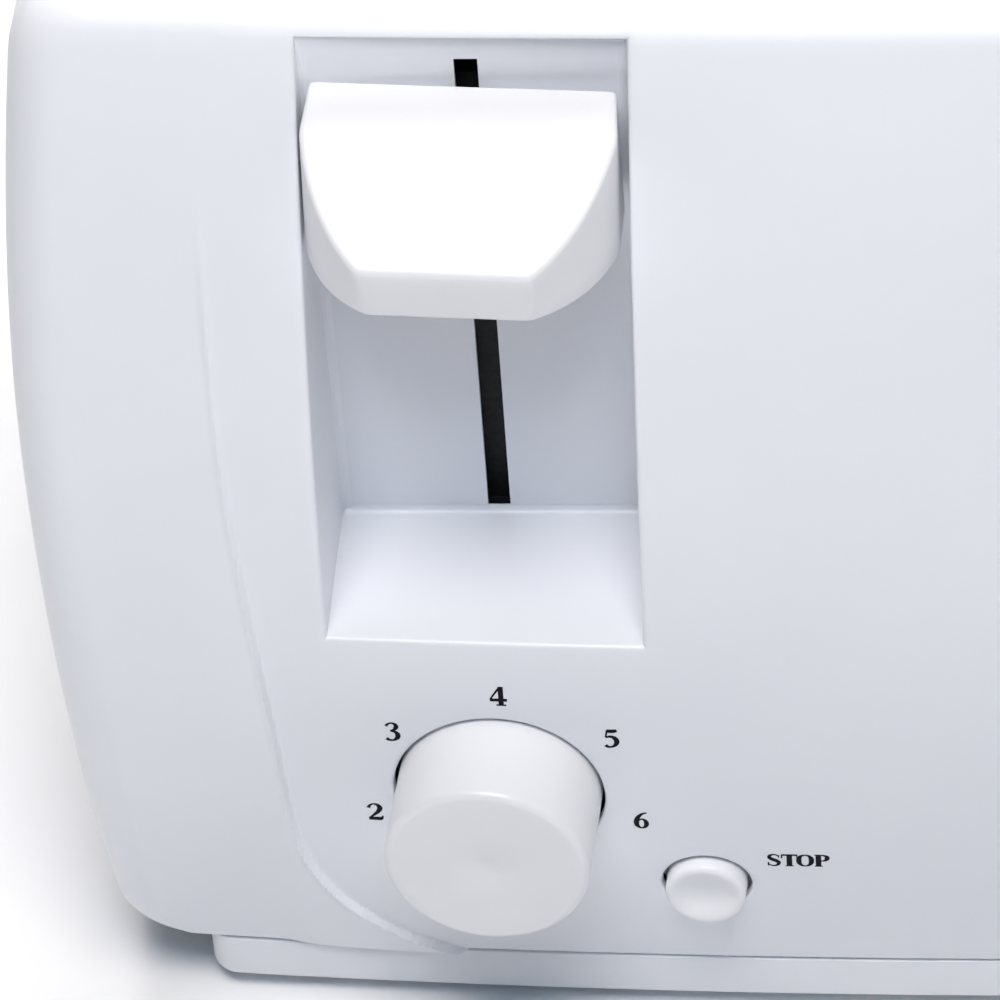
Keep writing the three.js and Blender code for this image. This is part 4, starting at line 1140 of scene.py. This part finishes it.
# Each glyph is strokes of (x, y, width) points, in hundredths of a box 1 high.
# The width is measured across the stroke.
GLYPHS = {
    "1": [
        [(33, 4, 17), (33, 96, 17)],
        [(12, 3, 6), (54, 3, 6)],
        [(13, 82, 4), (24, 88, 7), (33, 97, 10)],
    ],
    "2": [
        [(9, 72, 13), (15, 87, 8), (30, 96, 7), (45, 90, 12), (52, 74, 17), (46, 54, 15), (30, 33, 10),
         (10, 11, 6)],
        [(7, 8, 15), (35, 8, 16), (52, 9, 16), (58, 16, 8), (61, 26, 4)],
    ],
    "3": [
        [(10, 80, 10), (20, 92, 7), (34, 96, 7), (46, 88, 12), (48, 75, 15), (40, 61, 10), (26, 54, 6)],
        [(26, 54, 6), (42, 50, 10), (52, 36, 16), (50, 18, 15), (36, 5, 8), (20, 5, 9), (9, 13, 13)],
    ],
    "4": [
        [(44, 4, 16), (44, 97, 16)],
        [(40, 93, 8), (20, 60, 6), (5, 33, 6)],
        [(3, 29, 12), (66, 29, 12)],
        [(26, 3, 6), (62, 3, 6)],
    ],
    "5": [
        [(16, 89, 14), (40, 89, 15), (54, 93, 10)],
        [(17, 92, 6), (12, 55, 6)],
        [(12, 55, 6), (28, 60, 10), (45, 52, 15), (52, 34, 17), (47, 16, 13), (33, 5, 8), (19, 5, 10),
         (10, 13, 12)],
    ],
    "6": [
        [(53, 95, 5), (36, 88, 9), (20, 68, 14), (13, 42, 17), (15, 20, 15), (24, 7, 9), (33, 4, 7),
         (44, 9, 11), (50, 28, 16), (46, 47, 12), (36, 56, 7), (24, 52, 7), (16, 42, 8)],
    ],
    "7": [
        [(8, 76, 4), (12, 88, 10), (30, 89, 15), (54, 89, 14)],
        [(56, 92, 7), (40, 56, 12), (30, 28, 16), (27, 4, 18)],
    ],
    "S": [
        [(60, 68, 4), (62, 92, 6)],
        [(61, 82, 6), (48, 94, 7), (32, 96, 9), (17, 87, 14), (15, 72, 17), (28, 58, 20), (46, 47, 20),
         (60, 33, 18), (58, 15, 14), (44, 5, 9), (27, 5, 7), (12, 16, 6)],
        [(10, 4, 6), (10, 32, 4)],
    ],
    "T": [
        [(42, 3, 23), (42, 97, 23)],
        [(4, 94, 10), (80, 94, 10)],
        [(5, 97, 6), (4, 68, 4)],
        [(79, 97, 6), (80, 68, 4)],
        [(22, 3, 6), (62, 3, 6)],
    ],
    "O": [
        [(45, 96, 7), (26, 88, 13), (16, 69, 20), (14, 50, 22), (16, 31, 20), (26, 12, 13), (45, 4, 7),
         (64, 12, 13), (74, 31, 20), (76, 50, 22), (74, 69, 20), (64, 88, 13), (45, 96, 7)],
    ],
    "P": [
        [(24, 3, 23), (24, 97, 23)],
        [(5, 3, 6), (44, 3, 6)],
        [(5, 97, 6), (30, 97, 6)],
        [(30, 95, 7), (50, 94, 9), (65, 84, 17), (67, 71, 21), (62, 57, 16), (48, 49, 8), (30, 48, 7)],
    ],
}  # fmt: skip
INK_PROUD, INK_DEPTH = 0.03, 0.06
STROKE_WEIGHT = 1.2


def stroke_loops(stroke):
    """Left and right edges of a stroke, smoothed along its points."""
    points = np.array(stroke) / 100 * (1, 1, STROKE_WEIGHT)
    if len(points) > 2:
        widths = spline([(k, w) for k, w in enumerate(points[:, 2])], 5)[:, 1]
        line = spline(points[:, :2], 5)
    else:
        share = np.linspace(0, 1, 5)[:, None]
        line = points[0, :2] * (1 - share) + points[1, :2] * share
        widths = np.full(len(line), points[0, 2])
    along = np.gradient(line, axis=0)
    along /= np.linalg.norm(along, axis=1, keepdims=True)
    out = np.column_stack([-along[:, 1], along[:, 0]])
    return line + out * widths[:, None] / 2, line - out * widths[:, None] / 2


def printed(name, text, centre_x, centre_z, height, width):
    """Letters printed on the face, centred, a hair's breadth thick."""
    vertices, faces = [], []
    letter_width = width / len(text)
    for place, letter in enumerate(text):
        extent = np.array([p for stroke in GLYPHS[letter] for p in stroke]) / 100
        low, high = extent[:, 0].min(), extent[:, 0].max()
        for stroke in GLYPHS[letter]:
            left, right = stroke_loops(stroke)
            ladder = []
            for edge in (left, right):
                u = (edge[:, 0] - (low + high) / 2) * height * LETTER_STRETCH
                x = centre_x + (place - (len(text) - 1) / 2) * letter_width + u
                z = centre_z + (edge[:, 1] - 0.5) * height
                y = FRONT.surface(x, z, 0)
                ladder.append(np.stack([x, y - INK_PROUD, z], -1))
                ladder.append(np.stack([x, y - INK_PROUD + INK_DEPTH, z], -1))
            count = len(left)
            base = len(vertices)
            vertices += [tuple(p) for sheet in ladder for p in sheet]

            def at(sheet, k, base=base, count=count):
                return base + sheet * count + k

            for k in range(count - 1):
                faces.append((at(0, k), at(2, k), at(2, k + 1), at(0, k + 1)))
                faces.append((at(1, k), at(1, k + 1), at(3, k + 1), at(3, k)))
                faces.append((at(0, k), at(0, k + 1), at(1, k + 1), at(1, k)))
                faces.append((at(2, k), at(3, k), at(3, k + 1), at(2, k + 1)))
            faces.append((at(0, 0), at(1, 0), at(3, 0), at(2, 0)))
            faces.append((at(0, count - 1), at(2, count - 1), at(3, count - 1), at(1, count - 1)))
    return mesh_object(name, vertices, faces, INK, "housing", sharp=60, weld=1e-8)


LETTER_STRETCH = 1.05
DIGIT_RADIUS, DIGIT_STEP, DIGIT_SHIFT = 21.65, math.radians(52), 1.1
DIGIT_HEIGHT, DIGIT_WIDTH = 4.0, 2.65
STOP_OFFSET, STOP_DROP = 46.2, 14.6
STOP_HEIGHT, STOP_WIDTH = 3.05, 9.9
for side in SIDES:
    side_name = SIDE_NAMES[side]
    for digit in range(1, 8):
        turn = (digit - 4) * DIGIT_STEP
        x = side * (COLUMN_X - DIGIT_SHIFT) + DIGIT_RADIUS * math.sin(turn)
        z = KNOB_Z + DIGIT_RADIUS * math.cos(turn)
        printed(f"digit_{digit}_{side_name}", str(digit), x, z, DIGIT_HEIGHT, DIGIT_WIDTH)
    x = side * (COLUMN_X - STOP_OFFSET)
    printed(f"stop_label_{side_name}", "STOP", x, KNOB_Z - STOP_DROP, STOP_HEIGHT, STOP_WIDTH)

# ---- finishes on the CAD's own pieces ------------------------------------------------------

FINISHES = {
    "control_board": BOARD,
    "cord_bushing": RUBBER,
    "foot": RUBBER,
    # carriage, front bulkhead and guide rod take the near-black steel, painted shade for what shows through
    # the lever slots
    "carriage": SLOT_SHADE_STEEL,
    "front_bulkhead": SLOT_SHADE_STEEL,
    "rear_bulkhead": STEEL,
    "crumb_tray": STEEL,
    "base_screw": STEEL,
    "guide_rod": SLOT_SHADE_STEEL,
    "lift_spring": WIRE,
    "bread_guard": WIRE,
    "bread_rack": WIRE,
    "latch_magnet": COPPER,
    "mica_card": MICA,
    "heater_ribbon": STRIP,
}
for node_name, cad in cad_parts.items():
    for start, finish in FINISHES.items():
        if node_name.startswith(start):
            cad.data.materials.clear()
            cad.data.materials.append(finish)

# ---- camera and stage ----------------------------------------------------------------------


def look(name, position, target, roll):
    """A camera at a place, facing a target, turned about its view by roll."""
    data = bpy.data.cameras.new(name)
    made = bpy.data.objects.new(name, data)
    bpy.context.scene.collection.objects.link(made)
    forward = (Vector(target) - Vector(position)).normalized()
    right = forward.cross(Vector((0, 0, 1))).normalized()
    up = right.cross(forward)
    turned_right = right * math.cos(roll) + up * math.sin(roll)
    turned_up = up * math.cos(roll) - right * math.sin(roll)
    basis = Matrix([turned_right, turned_up, -forward]).transposed()
    made.matrix_world = Matrix.Translation(position) @ basis.to_4x4()
    return made


CAMERA_PLACE, CAMERA_AIM = (0.00618, -0.7298, 0.6635), (-0.0679, -0.0956, 0.0891)
CAMERA_ROLL, CAMERA_LENS = math.radians(-4.415), 198
LIGHT_AIM = (0, 0, 0.1)
FLOOR_REACH, FLOOR_CELLS = 6, 24

camera = look("camera", CAMERA_PLACE, CAMERA_AIM, CAMERA_ROLL)
camera.data.sensor_width = 36
camera.data.lens = CAMERA_LENS
camera.data.clip_start = 0.01
camera.data.clip_end = 50
bpy.context.scene.camera = camera


def area_light(name, position, target, size, power, colour):
    data = bpy.data.lights.new(name, "AREA")
    data.shape = "DISK"
    data.size = size
    data.energy = power
    data.color = colour
    made = bpy.data.objects.new(name, data)
    bpy.context.scene.collection.objects.link(made)
    made.matrix_world = look_matrix(position, target)
    return made


def look_matrix(position, target):
    """The frame of a light at a place, facing a target."""
    forward = (Vector(target) - Vector(position)).normalized()
    right = forward.cross(Vector((0, 1, 0.001))).normalized()
    up = right.cross(forward)
    return Matrix.Translation(position) @ Matrix([right, up, -forward]).transposed().to_4x4()


LIGHTS = {
    # name: place, diameter, watts, colour
    "rear_top": ((0.0, 1.35, 1.85), 1.5, 43.0, (1.03, 1.0, 1.0)),
    "near_top": ((-0.05, -0.45, 1.0), 0.5, 7.4, (1.06, 1.0, 0.96)),
    "front_top": ((0.0, -1.1, 1.4), 0.8, 2.6, (0.6, 1.0, 1.5)),
    "right_side": ((2.0, -0.9, 1.2), 1.2, 3.5, (1.0, 1.0, 1.0)),
}
for light_name, (light_place, light_size, watts, light_colour) in LIGHTS.items():
    area_light(light_name, light_place, LIGHT_AIM, light_size, watts, light_colour)

WORLD_COLOUR, WORLD_STRENGTH = (0.9, 0.95, 1.0), 0.03
world = bpy.data.worlds.new("studio")
bpy.context.scene.world = world
world.use_nodes = True
world.node_tree.nodes["Background"].inputs["Color"].default_value = (*WORLD_COLOUR, 1)
world.node_tree.nodes["Background"].inputs["Strength"].default_value = WORLD_STRENGTH
bpy.context.scene.view_settings.view_transform = "Standard"

floor_mesh = bpy.data.meshes.new("floor")
floor_work = bmesh.new()
bmesh.ops.create_grid(floor_work, x_segments=FLOOR_CELLS, y_segments=FLOOR_CELLS, size=FLOOR_REACH)
floor_work.to_mesh(floor_mesh)
floor_work.free()
floor_mesh.materials.append(FLOOR)
floor = bpy.data.objects.new("floor", floor_mesh)
bpy.context.scene.collection.objects.link(floor)
